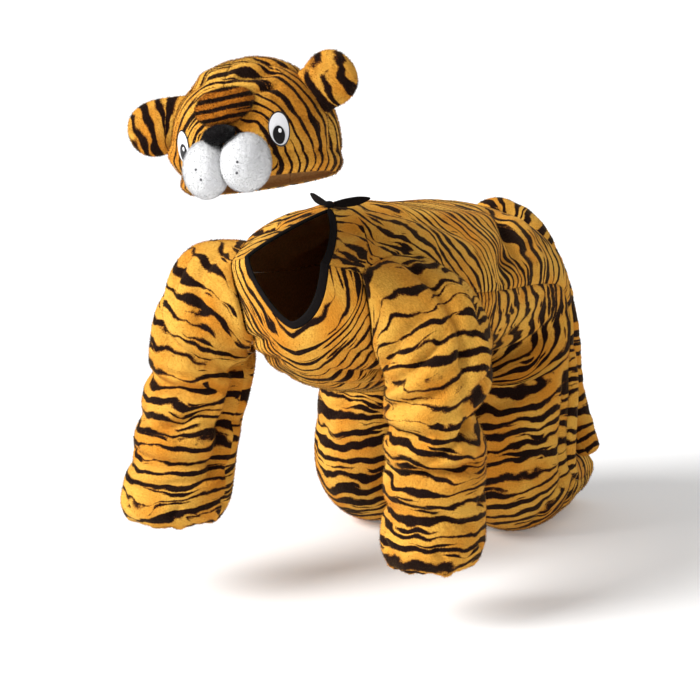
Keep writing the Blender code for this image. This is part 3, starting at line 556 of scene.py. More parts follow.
def side_seam(body, at, way):
    """Edge points half a seam from the side seam, and the normals that both edges share."""
    zero = np.zeros(at.shape)
    normal = unit(facing(body, at, zero + SEAM_LOOK) + facing(body, at, zero - SEAM_LOOK))
    along = body(at + SEAM_LOOK, zero) - body(at - SEAM_LOOK, zero)
    across = unit(np.cross(normal, along))
    return body(at, zero) + way * SEAM / 2 * across, normal


def hat_axes():
    """The hat's own directions: to the wearer's left, to the front, and up."""
    yaw = math.radians(HAT_YAW)
    roll = math.radians(HAT_ROLL)
    level = np.array((math.cos(yaw), math.sin(yaw), 0.0))
    front = np.array((math.sin(yaw), -math.cos(yaw), 0.0))
    upright = np.array((0.0, 0.0, 1.0))
    left = math.cos(roll) * level + math.sin(roll) * upright
    up = math.cos(roll) * upright - math.sin(roll) * level
    return np.stack([left, front, up])


def on_hat(side, azimuth, elevation, height):
    """Points over one half of the hat; the azimuth is zero in front and grows to the side."""
    cos = np.cos(elevation)
    depth = np.where(np.cos(azimuth) > 0, HAT_HALF_FRONT, HAT_HALF_BACK)
    tall = np.where(elevation > 0, HAT_HEIGHT, HAT_DEPTH)
    local = np.stack([
        HAT_HALF_WIDTH * cos * np.sin(azimuth),
        depth * cos * np.cos(azimuth),
        tall * np.sin(elevation),
    ], -1)
    half = np.stack([np.full(depth.shape, HAT_HALF_WIDTH), depth, tall], -1)
    normal = unit(local / half**2)
    local = local + normal * np.asarray(height)[..., None]
    shift = SEAM / 2 * side
    local = local * np.array((side, 1.0, 1.0)) + np.array((shift, 0.0, 0.0))
    return HAT_CENTRE + local @ hat_axes()


def on_middle(points, side):
    """Points brought onto the hat's middle plane, less half a seam."""
    left = hat_axes()[0]
    over = (points - HAT_CENTRE) @ left - side * SEAM / 2
    return points - over[..., None] * left


def on_hat_both(side, azimuth, elevation, height):
    """Points over the hat without the seam's shift where a piece lies over the middle."""
    points = on_hat(side, azimuth, elevation, height)
    if side == 0:
        points = on_hat(1, azimuth, elevation, height) - SEAM / 2 * hat_axes()[0]
    return points


def neckline(turn, out, lift):
    """Points beyond the neck edge of the body's cloth."""
    body = cloth_body(BODY + LEFT_LEG, ())
    at = np.full(turn.shape, 0.0)
    edge = body(at, turn)
    ahead = unit(body(at + NECK_STEP, turn) - edge)
    normal = facing(body, at + NECK_STEP / 2, turn)
    return edge - out * ahead + lift * normal


# More folds for the looks: start and end in sections and degrees, half width, depth
LEFT_BODY_CREASES = (
    ("shoulder_drag", 0.3, 50, 2.0, 24, 0.9, 0.30),
    ("blade_soft", 1.4, 74, 4.4, 40, 1.6, 0.35),
    ("back_long", 3.4, 66, 7.2, 50, 1.5, -0.28),
    ("flank_low", 4.4, 20, 7.4, 34, 1.2, 0.30),
    ("loin_deep", 6.5, 62, 5.6, 8, 0.8, 0.42),
    ("loin_ridge", 7.3, 60, 6.5, 10, 1.1, -0.26),
    ("rump_drag", 7.6, 80, 9.8, 34, 1.2, 0.34),
    ("rump_soft", 8.4, 54, 10.4, 16, 0.9, 0.30),
    ("side_pull", 9.2, 12, 11.4, 22, 0.8, 0.30),
    ("chest_pull_high", 1.3, -62, 2.5, -44, 0.6, 0.34),
    ("chest_pull_low", 1.9, -78, 3.3, -44, 0.7, 0.36),
    ("chest_pull_end", 2.6, -84, 3.8, -46, 0.6, 0.26),
    ("belly_cross", 4.4, -88, 5.2, -30, 1.4, 0.25),
    ("belly_low", 5.8, -86, 6.9, -24, 1.3, 0.28),
    ("groin", 8.6, -20, 10.4, -120, 1.1, 0.55),
    ("groin_ridge", 8.1, -16, 9.7, -112, 0.9, -0.35),
    ("thigh_front", 10.6, -30, 12.2, -110, 1.2, 0.30),
    ("thigh_side", 11.0, -6, 14.6, -10, 0.8, 0.45),
    ("thigh_ridge", 10.8, 10, 15.2, 8, 0.7, -0.45),
    ("thigh_rear", 11.2, 30, 15.0, 26, 0.7, 0.45),
    ("thigh_u_high", 11.3, -30, 12.3, -120, 0.9, 0.26),
    ("thigh_u_low", 13.3, -24, 14.0, -110, 0.8, 0.26),
    ("knee_high", 12.6, -24, 13.3, -120, 0.9, 0.30),
    ("knee_gather_a", 14.2, -6, 14.9, -60, 0.6, 0.32),
    ("knee_gather_b", 14.8, 8, 15.7, -48, 0.55, 0.30),
    ("knee_gather_c", 15.1, 30, 15.6, -20, 0.5, 0.28),
    ("calf_long", 15.4, 40, 18.0, 60, 0.9, 0.28),
    ("calf_side", 16.0, -30, 18.2, -50, 0.8, 0.24),
    ("inner_thigh", 10.6, 150, 13.4, 130, 1.2, 0.35),
    ("pit_a", 13.4, 64, 14.3, 140, 0.8, 0.35),
    ("pit_b", 14.6, 50, 15.2, 140, 0.8, 0.30),
)
RIGHT_BODY_CREASES = (
    ("shoulder_drag", 0.4, 46, 2.1, 22, 0.9, 0.30),
    ("blade_soft", 1.6, 70, 4.6, 44, 1.6, 0.35),
    ("back_long", 3.6, 62, 7.0, 48, 1.5, -0.25),
    ("flank_low", 4.2, 18, 7.2, 30, 1.2, 0.32),
    ("rump_drag", 7.4, 78, 9.6, 34, 1.3, 0.32),
    ("chest_pull_high", 1.1, -64, 2.4, -42, 0.6, 0.40),
    ("chest_pull_low", 1.7, -76, 3.2, -42, 0.7, 0.40),
    ("chest_pull_end", 2.5, -82, 3.8, -44, 0.6, 0.28),
    ("belly_cross", 4.8, -86, 5.4, -26, 1.4, 0.25),
    ("groin", 8.6, -20, 10.4, -120, 1.1, 0.50),
    ("thigh_front", 10.8, -26, 12.4, -100, 1.2, 0.32),
    ("thigh_drag", 11.4, -110, 13.4, -40, 1.0, 0.35),
    ("knee_high", 12.8, -20, 13.4, -110, 0.9, 0.30),
    ("knee_gather_a", 14.2, -6, 14.9, -60, 0.6, 0.32),
    ("knee_gather_b", 14.9, 10, 15.7, -44, 0.55, 0.30),
    ("calf_long", 15.3, 36, 18.0, 58, 0.9, 0.28),
    ("inner_thigh", 10.8, 150, 13.2, 128, 1.2, 0.35),
    ("pit_a", 13.4, 60, 14.3, 140, 0.8, 0.35),
)
LEFT_SLEEVE_CREASES = (
    ("long_drop", 0.2, 116, 2.8, 122, 0.75, 1.10),
    ("rear_roll", 0.8, 92, 2.6, 96, 0.80, -0.45),
    ("cap_roll", 0.15, 190, 0.5, 100, 1.0, -0.45),
    ("bulge", 1.1, 232, 0.8, 170, 0.90, -0.50),
    ("bulge_low", 1.5, 244, 1.1, 126, 0.62, 1.05),
    ("drag_high", 2.3, 240, 1.5, 128, 0.60, 0.90),
    ("drag_roll", 2.7, 232, 2.0, 150, 0.60, -0.35),
    ("drag_low", 3.1, 244, 2.4, 118, 0.62, 1.00),
    ("drag_short", 1.9, 190, 1.6, 140, 0.36, 0.45),
    ("elbow_waist", 3.3, 16, 3.5, 124, 2.10, 1.80),
    ("elbow_sweep", 3.3, 88, 4.3, 176, 0.70, 1.05),
    ("elbow_left", 3.6, 250, 3.7, 160, 0.60, 0.85),
    ("elbow_roll", 4.0, 232, 3.9, 190, 0.60, -0.35),
    ("fore_ring", 4.65, 238, 4.3, 82, 0.66, 1.15),
    ("fore_pleat", 4.1, 200, 4.6, 160, 0.36, 0.50),
    ("fore_roll", 5.0, 230, 4.8, 120, 0.75, -0.35),
    ("low_curl", 5.2, 194, 5.9, 104, 0.55, 0.80),
    ("low_ring", 6.0, 252, 5.7, 172, 0.55, 0.70),
    ("low_right", 5.4, 100, 4.9, 36, 0.62, 0.75),
    ("blouse_a", 6.4, 234, 7.2, 200, 0.42, 0.48),
    ("blouse_b", 6.4, 154, 7.2, 140, 0.42, 0.48),
    ("blouse_c", 6.5, 96, 7.2, 72, 0.42, 0.48),
    ("hidden_drag", 0.6, 330, 2.4, 270, 0.80, 0.80),
    ("hidden_long", 1.4, 20, 3.2, 0, 0.80, 0.80),
    ("hidden_ring", 3.8, 260, 3.6, 380, 0.80, 0.90),
    ("hidden_low", 5.0, 250, 5.2, 400, 0.75, 0.80),
)
RIGHT_SLEEVE_CREASES = (
    ("pit_high", 1.1, 306, 1.9, 222, 0.62, 0.95),
    ("pit_roll", 1.5, 300, 2.3, 236, 0.60, -0.35),
    ("pit_low", 1.9, 312, 2.8, 232, 0.62, 0.95),
    ("cap_drag", 0.3, 130, 1.6, 200, 0.75, 0.75),
    ("cap_roll", 0.2, 250, 0.5, 160, 1.0, -0.40),
    ("cap_left", 0.9, 122, 1.7, 150, 0.6, 0.55),
    ("ring_high", 2.2, 118, 2.4, 256, 0.66, 1.05),
    ("ring_roll", 2.7, 128, 2.8, 220, 0.66, -0.35),
    ("ring_short", 2.8, 232, 3.0, 160, 0.42, 0.55),
    ("elbow_ring", 3.3, 112, 3.25, 250, 0.66, 1.00),
    ("long_inner", 2.1, 262, 5.7, 250, 0.85, 1.35),
    ("inner_roll", 2.6, 284, 5.4, 276, 0.80, -0.40),
    ("fore_drag", 3.7, 240, 4.6, 150, 0.58, 0.80),
    ("fore_roll", 4.4, 130, 4.6, 200, 0.75, -0.45),
    ("fore_ring", 5.0, 108, 5.2, 262, 0.62, 1.25),
    ("low_ring", 5.65, 250, 5.8, 140, 0.50, 0.75),
    ("blouse_a", 6.4, 136, 7.2, 160, 0.42, 0.48),
    ("blouse_b", 6.5, 216, 7.2, 206, 0.42, 0.48),
    ("blouse_c", 6.4, 262, 7.2, 284, 0.42, 0.48),
    ("hidden_ring", 3.6, 290, 3.4, 440, 0.80, 0.90),
    ("hidden_low", 5.2, 300, 5.0, 440, 0.75, 0.80),
    ("hidden_drag", 0.8, 20, 2.4, 80, 0.80, 0.80),
)

# Stripes along the cloth: section, width of a stripe with its gap, slant across, share of black
FRONT_STRIPES = (
    ("yoke", 0.0, 1.6, 0.10, 0.32),
    ("chest", 2.0, 1.15, 0.05, 0.34),
    ("ribs", 3.8, 0.95, 0.0, 0.34),
    ("belly", 4.8, 1.4, 0.0, 0.34),
    ("hip", 5.8, 2.8, 0.10, 0.38),
    ("groin", 8.8, 2.8, 0.15, 0.40),
    ("thigh", 11.0, 1.7, 0.10, 0.40),
    ("knee", 15.0, 1.5, 0.0, 0.40),
    ("hem", 19.0, 1.5, 0.0, 0.38),
)
BACK_STRIPES = (
    ("nape", 0.0, 1.9, -0.8, 0.30),
    ("shoulder", 2.0, 1.6, -0.8, 0.34),
    ("ribs", 4.0, 1.5, -0.7, 0.34),
    ("loin", 5.0, 1.8, -0.5, 0.34),
    ("rump", 6.4, 2.5, -0.5, 0.35),
    ("seat", 9.5, 3.0, -0.1, 0.38),
    ("thigh", 11.5, 2.0, -0.1, 0.38),
    ("pit", 14.0, 1.7, 0.0, 0.38),
    ("hem", 19.0, 1.5, 0.0, 0.38),
)
SLEEVE_STRIPES = (
    ("cap", 0.0, 1.8, 0.30, 0.22),
    ("biceps", 2.0, 1.6, 0.15, 0.24),
    ("elbow", 4.0, 1.7, 0.0, 0.30),
    ("low", 6.0, 1.8, 0.05, 0.32),
    ("cuff", 10.0, 1.8, 0.0, 0.30),
)
CREASE_SHARE = 1.8
# Where each sleeve lies on the printed cloth
SLEEVE_CLOTH = {1: 104.0, -1: 40.0}
# Section of a sleeve from where its rows lie closer, for the turned in cuff
SLEEVE_LOW = 8.0
# What makes the even gathers of a cuff uneven: how many round it, where they start, depth
UNEVEN_GATHERS = ((8, 0.0, -0.17), (5, 1.1, 0.10), (13, 0.7, 0.08), (21, 2.1, 0.05))
# Other pieces: width of a stripe with its gap, and share of black
HAT_STRIPE = (1.25, 0.34)
EAR_STRIPES = {1: (2.7, 0.24), -1: (1.7, 0.36)}
EAR_STRIPE_START = {1: 0.15, -1: 0.55}
TAIL_STRIPE = (1.8, 0.36)
BRIDGE_STRIPE = (0.95, 0.42)
NO_STRIPE = (1.0, 0.0)
# How far the stripes of a cut keep to each column's own length on the trunk, and where that ends
OWN_LENGTH = 0.5
OWN_LENGTH_END = 12.0
OWN_LENGTH_FADE = 3.0
# Where stripes crowd, every second one ends: local spacing at which that starts and is done
CROWD_START = 0.85
CROWD_DONE = 0.5
CROWD_ROWS = 9
# Where small pieces and pads lie on the printed cloth
RING_CLOTH = 20
RING_CLOTH_STEP = 7
PAD_CLOTH = 30

# Slackness of the tail: share of its radius, rate along it, start and slow rate; then a ripple
TAIL_SLACK = (0.035, 1.3, 0.6, 0.47)
TAIL_RIPPLE = (0.02, 2.9)
TAIL_SIDE = np.array((1.0, 0.0, 0.2))
# Rings that close its tip: step beyond its end, and share of its last ring
TAIL_TIP = ((0.45, 0.72), (0.62, 0.3))

# Turned edge of the hat: height, place and half width of its roll, then depth and half width of
# the valley under it, and place, depth, half width and gathers of the stitches above it
HAT_EDGE_ROLL = (0.24, 1.0, 0.6)
HAT_EDGE_VALLEY = (0.2, 0.35)
HAT_STITCH_PLACE = 2.0
HAT_STITCH = (0.16, 0.28)
HAT_GATHERS = ((0.5, 29, 0.0), (0.4, 17, 1.0))
HAT_SEAM_HALF = 0.35
# Middle of the rings of stripes round the face, and where they turn into stripes across the seam
FACE_DROP = 0.12
HAT_REAR_START = 17.0
HAT_REAR_RUN = 8.0
HAT_CLOTH_SCALE = 6.5
HAT_CLOTH = 60
# Creases of the hat: side, start and end in degrees round and up, half width, depth
HAT_CREASES = (
    ("crown_dip", 1, 12, 56, 62, 52, 0.75, 0.50),
    ("crown_dip_two", 1, 30, 70, 84, 60, 0.60, 0.36),
    ("crown_long", 1, 60, 76, 112, 36, 0.70, 0.32),
    ("crown_roll", 1, 14, 66, 60, 62, 0.60, -0.22),
    ("brow_dart", 1, 8, 40, 52, 38, 0.34, 0.40),
    ("brow_side", 1, 40, 30, 66, 6, 0.50, 0.18),
    ("side_sag", 1, 96, 20, 78, -12, 0.70, 0.24),
    ("back_sag", 1, 140, 50, 120, -8, 0.9, 0.26),
    ("temple_dip", -1, 30, 58, 74, 46, 0.75, 0.34),
    ("temple_roll", -1, 24, 68, 70, 60, 0.60, -0.18),
    ("cheek_fold", -1, 84, -6, 44, -16, 0.45, 0.32),
    ("cheek_roll", -1, 80, 8, 50, -2, 0.8, -0.30),
    ("back_dip", -1, 130, 56, 110, 0, 0.9, 0.28),
)

# Step in radians that shows the way up the hat at an ear
EAR_STEP = 0.1

# Binding: middle of its height, how far that swells, and squareness of its section
BINDING_LIFT = 0.02
BINDING_SWELL = 0.03
BINDING_POWER = 0.6
# Knot: lift and step back from the nape, and depth, number and twist of its grooves
NAPE_LIFT = 0.06
KNOT_BACK = 0.15
KNOT_END = 1.5
KNOT_GROOVES = (0.10, 3, 2.2)
# Ties: way out from the knot, start inside it, hollow and squareness of their section
TIE_WAY = (1.0, 0.5, 0.12)
TIE_START = 0.12
TIE_CUP = 0.10
TIE_POWER = 0.5
WHISKER_END = 1.4
WHISKER_ROWS = 9

# Pile: number of blades and seed of each piece, then length, width and stray of each slot's blades
PILES = {
    "front": (120000, 1),
    "back": (110000, 2),
    "sleeve_left": (42000, 4),
    "sleeve_right": (42000, 2),
    "tail": (14000, 31),
    "hat_left": (26000, 6),
    "hat_right": (26000, 4),
    "ear_left": (7000, 10),
    "ear_right": (7000, 8),
    "muzzle_left": (24000, 14),
    "muzzle_right": (24000, 12),
    "nose_bridge": (14000, 21),
    "nose": (6000, 22),
}
BLADES = {
    "tiger_plush": (0.23, 0.042, 0.38),
    "white_plush": (0.19, 0.03, 0.45),
    "deep_plush": (0.24, 0.04, 0.35),
    "black_cloth": (0.26, 0.04, 0.4),
}
BLADE_LEAST = 0.6
BLADE_SPREAD = 0.8
# How deep the root of a blade is, in metres
BLADE_ROOT = 0.0004


def deeper(creases):
    """Creases at the depth that the shown cloth has."""
    return tuple((*row[:-1], CREASE_SHARE * row[-1]) for row in creases)


def read_rows(table, at):
    """Numbers of a table of stripes at sections, on straight lines between its rows."""
    sections = [row[1] for row in table]
    return [np.interp(at, sections, [row[k] for row in table]) for k in range(2, 5)]


def lengths(points, axis):
    """Running length along one axis of a grid of points."""
    step = np.linalg.norm(np.diff(points, axis=axis), axis=-1)
    zero = np.zeros_like(np.take(step, [0], axis=axis))
    return np.concatenate([zero, np.cumsum(step, axis=axis)], axis=axis)


def crowded(along, mean):
    """How far the rows draw together, from 0 to 1, on a grid of running lengths."""
    local = np.gradient(along, axis=0) / np.gradient(mean)[:, None]
    kernel = np.ones(CROWD_ROWS) / CROWD_ROWS
    padded = np.pad(local, ((CROWD_ROWS // 2, CROWD_ROWS // 2), (0, 0)), mode="edge")
    local = np.stack([np.convolve(column, kernel, "valid") for column in padded.T], -1)
    return np.clip((CROWD_START - local) / (CROWD_START - CROWD_DONE), 0, 1)


def valley(distance, depth, half=SEAM_HALF):
    """Depth of a rounded valley at a distance from its middle."""
    return depth * np.exp(-((distance / half) ** 2))


def closed(rings):
    """Rings with their first column repeated at the end."""
    return np.concatenate([rings, rings[:, :1]], 1)


def widened(values, columns):
    """One value a row, repeated in every column."""
    return np.repeat(values[:, None], columns, 1)


# Mesh building
def in_metres(points):
    """Points of the floor frame in metres from the hold point."""
    return (np.asarray(points) - HOLD) * CM


class Grid:
    """A grid of outer and inner points with the cloth's own coordinates and stripe numbers."""

    def __init__(self, outer, inner, cloth, stripe, joined=None, rims=True):
        self.outer = outer
        self.inner = inner
        self.cloth = cloth
        self.stripe = stripe
        # Rows whose last column is joined to another grid, so that they get no rim
        self.joined = np.zeros(len(outer), bool) if joined is None else joined
        self.rims = rims


def quads(rows, columns):
    """Corner numbers of the faces between a grid's points."""
    i, j = np.meshgrid(np.arange(rows - 1), np.arange(columns - 1), indexing="ij")
    a = (i * columns + j).ravel()
    return np.stack([a, a + 1, a + columns + 1, a + columns], -1)


def new_mesh(name, points, faces, cloth, stripe):
    """A mesh with the cloth's own coordinates and the stripe numbers of its points."""
    mesh = bpy.data.meshes.new(name)
    mesh.from_pydata(points.tolist(), [], faces.tolist() if isinstance(faces, np.ndarray) else faces)
    corner = np.zeros(len(mesh.loops), int)
    mesh.loops.foreach_get("vertex_index", corner)
    layer = mesh.uv_layers.new(name="cloth")
    layer.data.foreach_set("uv", cloth[corner].astype(np.float32).ravel())
    made = mesh.attributes.new("stripe", "FLOAT_VECTOR", "POINT")
    made.data.foreach_set("vector", stripe.astype(np.float32).ravel())
    return mesh


def weld(mesh):
    """Make points that coincide one, and turn the faces outward."""
    build = bmesh.new()
    build.from_mesh(mesh)
    bmesh.ops.remove_doubles(build, verts=build.verts, dist=WELD)
    bmesh.ops.recalc_face_normals(build, faces=build.faces)
    build.to_mesh(mesh)
    build.free()


def in_scene(name, mesh, looks):
    """The mesh as an object that rides on the body."""
    for look in looks:
        mesh.materials.append(look)
    obj = bpy.data.objects.new(name, mesh)
    bpy.context.scene.collection.objects.link(obj)
    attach(obj, BODY_NAME)
    return obj


def shell(name, grids, looks):
    """One closed cloth piece from grids; kind 0 is its face, 1 its reverse and 2 a flat rim."""
    points, cloth, stripe, faces, kinds = [], [], [], [], []
    base = 0
    for grid in grids:
        rows, columns = grid.outer.shape[:2]
        below = rows * columns
        points += [grid.outer.reshape(-1, 3), grid.inner.reshape(-1, 3)]
        cloth += [grid.cloth.reshape(-1, 2)] * 2
        stripe += [grid.stripe.reshape(-1, 3)] * 2
        quad = base + quads(rows, columns)
        faces += [quad, quad[:, ::-1] + below]
        rims = []
        for row in (0, rows - 1):
            a = base + row * columns + np.arange(columns - 1)
            rims.append(np.stack([a, a + 1, a + 1 + below, a + below], -1))
        if grid.rims:
            a = base + np.arange(rows - 1) * columns
            free = ~(grid.joined[:-1] & grid.joined[1:])
            for edge in (a, a[free] + columns - 1):
                rims.append(np.stack([edge, edge + columns, edge + columns + below, edge + below], -1))
        rims = np.concatenate(rims)
        faces.append(rims)
        kinds.append(np.repeat((0, 1, 2), (len(quad), len(quad), len(rims))))
        base += 2 * below
    kinds = np.concatenate(kinds)
    points = in_metres(np.concatenate(points))
    mesh = new_mesh(name, points, np.concatenate(faces), np.concatenate(cloth), np.concatenate(stripe))
    mesh.polygons.foreach_set("material_index", (kinds == 1).astype(np.int32))
    mesh.polygons.foreach_set("use_smooth", kinds != 2)
    weld(mesh)
    return in_scene(name, mesh, looks)


def pod(name, rings, cloth, stripe, look):
    """A closed padded piece through rings, whose first and last ring close to a point."""
    rows, columns = rings.shape[:2]
    tips = [rings[0, :-1].mean(0), rings[-1, :-1].mean(0)]
    points = in_metres(np.concatenate([rings.reshape(-1, 3), tips]))
    cloth = np.concatenate([cloth.reshape(-1, 2), cloth[0, :1], cloth[-1, :1]])
    stripe = np.concatenate([stripe.reshape(-1, 3), stripe[0, :1], stripe[-1, :1]])
    faces = quads(rows, columns).tolist()
    first = rows * columns
    for j in range(columns - 1):
        faces.append([first, j + 1, j])
        faces.append([first + 1, (rows - 1) * columns + j, (rows - 1) * columns + j + 1])
    mesh = new_mesh(name, points, faces, cloth, stripe)
    mesh.shade_smooth()
    weld(mesh)
    return in_scene(name, mesh, [look])


# Materials
# Random fields: scale across and along the cloth, place, detail and roughness
FIELDS = {
    "sway": (0.09, 0.15, 0.0, 3.0, 1.0, 0.5),
    "wave": (0.34, 0.24, 5.0, 8.0, 1.0, 0.5),
    "ragged": (1.5, 1.8, 9.0, 4.0, 2.0, 0.6),
    "fibre": (10.0, 8.0, 2.0, 6.0, 1.0, 0.5),
    "swell": (0.11, 0.50, 13.0, 1.0, 1.0, 0.5),
    "fork": (0.10, 0.16, 21.0, 5.0, 1.0, 0.5),
    "fork_swell": (0.13, 0.50, 30.0, 2.0, 1.0, 0.5),
    "patch": (0.16, 0.16, 40.0, 9.0, 2.0, 0.5),
    "plain_patch": (0.5, 0.5, 4.0, 9.0, 2.0, 0.5),
    "tuft": (9.0, 6.0, 3.1, 7.7, 2.0, 0.6),
    "clump": (2.6, 1.7, 9.4, 2.3, 1.0, 0.5),
    "loops": (3.0, 3.0, 1.0, 1.0, 2.0, 0.5),
    "scuff": (3.0, 3.0, 2.0, 2.0, 2.0, 0.5),
    "grain": (40.0, 40.0, 0.0, 0.0, 2.0, 0.5),
}
# Bump of the nap and of the knit: strength, and distance in metres
CLUMP_BUMP = (0.55, 0.0016)
TUFT_BUMP = (0.65, 0.0007)
LOOP_BUMP = (0.4, 0.0004)
LOOP_SCALE = (9.0, 12.0, 1.0)
LOOP_ROWS = 0.5
LOOP_WAVER = 1.2
# Stripes, in widths of a stripe with its gap: shift by slow and quick waves, swelling and tapering
SWAY_SHIFT = 2.4
WAVE_SHIFT = 0.8
SWELL = 0.54
CROWD_SWELL = 1.8
# A second set of stripes forks the first: shift, start, swelling, share, and loss where they crowd
FORK_SHIFT = 1.8
FORK_START = 0.4
FORK_SWELL = 1.1
FORK_SHARE = -0.62
FORK_LOSS = -0.2
FORK_BLEND = 0.05
# Ragged edges of the stripes: depth of both fields and their middle, and where colours change
RAGGED_DEPTH = 0.12
FIBRE_DEPTH = 0.15
RAGGED_MIDDLE = 0.135
EDGE_RAMP = (-0.055, 0.02)
CORE_RAMP = (-0.025, 0.045)


def rgba(colour):
    """A colour with full cover."""
    return (*colour, 1.0)


class Tree:
    """Short calls for a material's nodes."""

    def __init__(self, name, on_cloth=True):
        self.look = bpy.data.materials.new(name)
        self.look.use_nodes = True
        self.tree = self.look.node_tree
        self.shader = self.tree.nodes["Principled BSDF"]
        if on_cloth:
            self.place = self.add("ShaderNodeUVMap", {"uv_map": "cloth"}).outputs[0]
        else:
            self.place = self.add("ShaderNodeTexCoord").outputs["Object"]

    def add(self, kind, settings=None, **inputs):
        """A node with its settings and inputs; an input named i and a number is taken by place."""
        made = self.tree.nodes.new(kind)
        for key, value in (settings or {}).items():
            setattr(made, key, value)
        for key, value in inputs.items():
            by_place = key[0] == "i" and key[1:].isdigit()
            self.put(made.inputs[int(key[1:]) if by_place else key], value)
        return made

    def put(self, socket, value):
        if isinstance(value, bpy.types.NodeSocket):
            self.tree.links.new(value, socket)
        else:
            socket.default_value = value

    def math(self, operation, a, b=0.0, c=0.0):
        return self.add("ShaderNodeMath", {"operation": operation}, i0=a, i1=b, i2=c).outputs[0]

    def field(self, name, seed=0.0):
        across, along, x, y, detail, rough = FIELDS[name]
        moved = self.add(
            "ShaderNodeVectorMath", {"operation": "MULTIPLY_ADD"},
            i0=self.place, i1=(across, along, 1.0), i2=(seed + x, y, 0.0),
        )
        made = self.add(
            "ShaderNodeTexNoise", {"noise_dimensions": "2D"},
            Vector=moved.outputs[0], Scale=1.0, Detail=detail, Roughness=rough,
        )
        return made.outputs["Fac"]

    def numbers(self):
        """The piece's own stripe numbers."""
        given = self.add("ShaderNodeAttribute", {"attribute_name": "stripe"})
        return self.add("ShaderNodeSeparateXYZ", Vector=given.outputs["Vector"]).outputs

    def mix(self, factor, a, b, blend="MIX"):
        made = self.add("ShaderNodeMix", {"data_type": "RGBA", "blend_type": blend})
        for place, value in ((0, factor), (6, a), (7, b)):
            self.put(made.inputs[place], value)
        return made.outputs[2]

    def ramp(self, factor, low, high):
        return self.add(
            "ShaderNodeMapRange", {"interpolation_type": "SMOOTHSTEP"},
            i0=factor, i1=low, i2=high, i3=0.0, i4=1.0,
        ).outputs[0]

    def bump(self, look, height, share=1.0, **inputs):
        strength, distance = look
        strength = strength * share
        return self.add("ShaderNodeBump", Strength=strength, Distance=distance, Height=height, **inputs)

    def scuffed(self, colour, worn, smooth, rough):
        """Colour and roughness of smooth plastic with faint scuffs."""
        scuff = self.field("scuff")
        made = self.add("ShaderNodeMapRange", i0=scuff, i1=0.0, i2=1.0, i3=smooth, i4=rough)
        self.put(self.shader.inputs["Roughness"], made.outputs[0])
        return self.mix(scuff, rgba(colour), rgba(worn))


def plush_surface(tree, colour, nap, sheen, tint, shade):
    """Nap of short pile: clumps and single tufts as bump, a soft sheen, and painted shade that darkens the
    colour between tufts.
    """
    tuft = tree.field("tuft")
    low = tree.bump(CLUMP_BUMP, tree.field("clump"), nap)
    high = tree.bump(TUFT_BUMP, tuft, nap, Normal=low.outputs[0])
    # Painted shade in the pile: the colour is multiplied towards the shade colour where the tuft field is
    # low
    painted_tuft_shade = tree.mix(tree.ramp(tuft, 0.28, 0.72), rgba(shade), rgba((1.0, 1.0, 1.0)))
    tree.put(tree.shader.inputs["Base Color"], tree.mix(1.0, colour, painted_tuft_shade, "MULTIPLY"))
    tree.put(tree.shader.inputs["Normal"], high.outputs[0])
    tree.shader.inputs["Roughness"].default_value = 0.9
    tree.shader.inputs["Specular IOR Level"].default_value = 0.06
    tree.shader.inputs["Sheen Weight"].default_value = sheen
    tree.shader.inputs["Sheen Roughness"].default_value = 0.45
    tree.shader.inputs["Sheen Tint"].default_value = rgba(tint)


def tiger_cloth(name, seed, gold=GOLD, amber=AMBER, wobble=SWAY_SHIFT, vary=1.0):
    """Golden plush with dark stripes that follow the piece's own stripe numbers."""
    tree = Tree(name)
    math_node = tree.math
    phase, share, crowd = tree.numbers()

    moved = math_node("MULTIPLY_ADD", tree.field("sway", seed), wobble, phase)
    moved = math_node("MULTIPLY_ADD", tree.field("wave", seed), WAVE_SHIFT * vary, moved)
    half = math_node("MULTIPLY_ADD", tree.field("swell", seed), SWELL * vary, -SWELL / 2 * vary)
    half = math_node("MULTIPLY_ADD", share, 0.5, half)
    every = math_node("SUBTRACT", half, math_node("PINGPONG", moved, 0.5))
    wider = math_node("MULTIPLY", half, CROWD_SWELL)
    second = math_node("SUBTRACT", wider, math_node("PINGPONG", moved, 1.0))
    first = math_node("MULTIPLY_ADD", crowd, math_node("SUBTRACT", second, every), every)

    other = math_node("MULTIPLY_ADD", tree.field("fork", seed), FORK_SHIFT, moved)
    other = math_node("PINGPONG", math_node("SUBTRACT", other, FORK_START), 0.5)
    half = math_node("MULTIPLY_ADD", tree.field("fork_swell", seed), FORK_SWELL, FORK_SHARE)
    half = math_node("MULTIPLY_ADD", crowd, FORK_LOSS, half)
    forked = math_node("SUBTRACT", half, other)

    value = math_node("SMOOTH_MAX", first, forked, FORK_BLEND)
    value = math_node("MULTIPLY_ADD", tree.field("ragged", seed), RAGGED_DEPTH, value)
    value = math_node("MULTIPLY_ADD", tree.field("fibre", seed), FIBRE_DEPTH, value)
    value = math_node("SUBTRACT", value, RAGGED_MIDDLE)

    ground = tree.mix(tree.ramp(tree.field("patch", seed), 0.3, 0.75), rgba(gold), rgba(amber))
    colour = tree.mix(tree.ramp(value, *EDGE_RAMP), ground, rgba(EDGE))
    colour = tree.mix(tree.ramp(value, *CORE_RAMP), colour, rgba(STRIPE))
    # Last colour: the painted shade between tufts, darker and warmer than the lit cloth
    plush_surface(tree, colour, 1.0, 0.12, (1.0, 0.62, 0.25), (0.74, 0.68, 0.62))
    return tree.look


def plain_plush(name, colour, other, nap, sheen, shade=0.9):
    """Plush of one colour with a second one in patches, and painted shade between tufts."""
    tree = Tree(name)
    ground = tree.mix(tree.ramp(tree.field("plain_patch"), 0.3, 0.7), rgba(colour), rgba(other))
    # Colour of the painted shade between tufts, a touch bluer for light plush
    painted_tuft_shades = (shade, shade, shade + 0.01) if shade > 0.9 else (shade, shade, shade)
    plush_surface(tree, ground, nap, sheen, (1.0, 1.0, 1.0), painted_tuft_shades)
    return tree.look


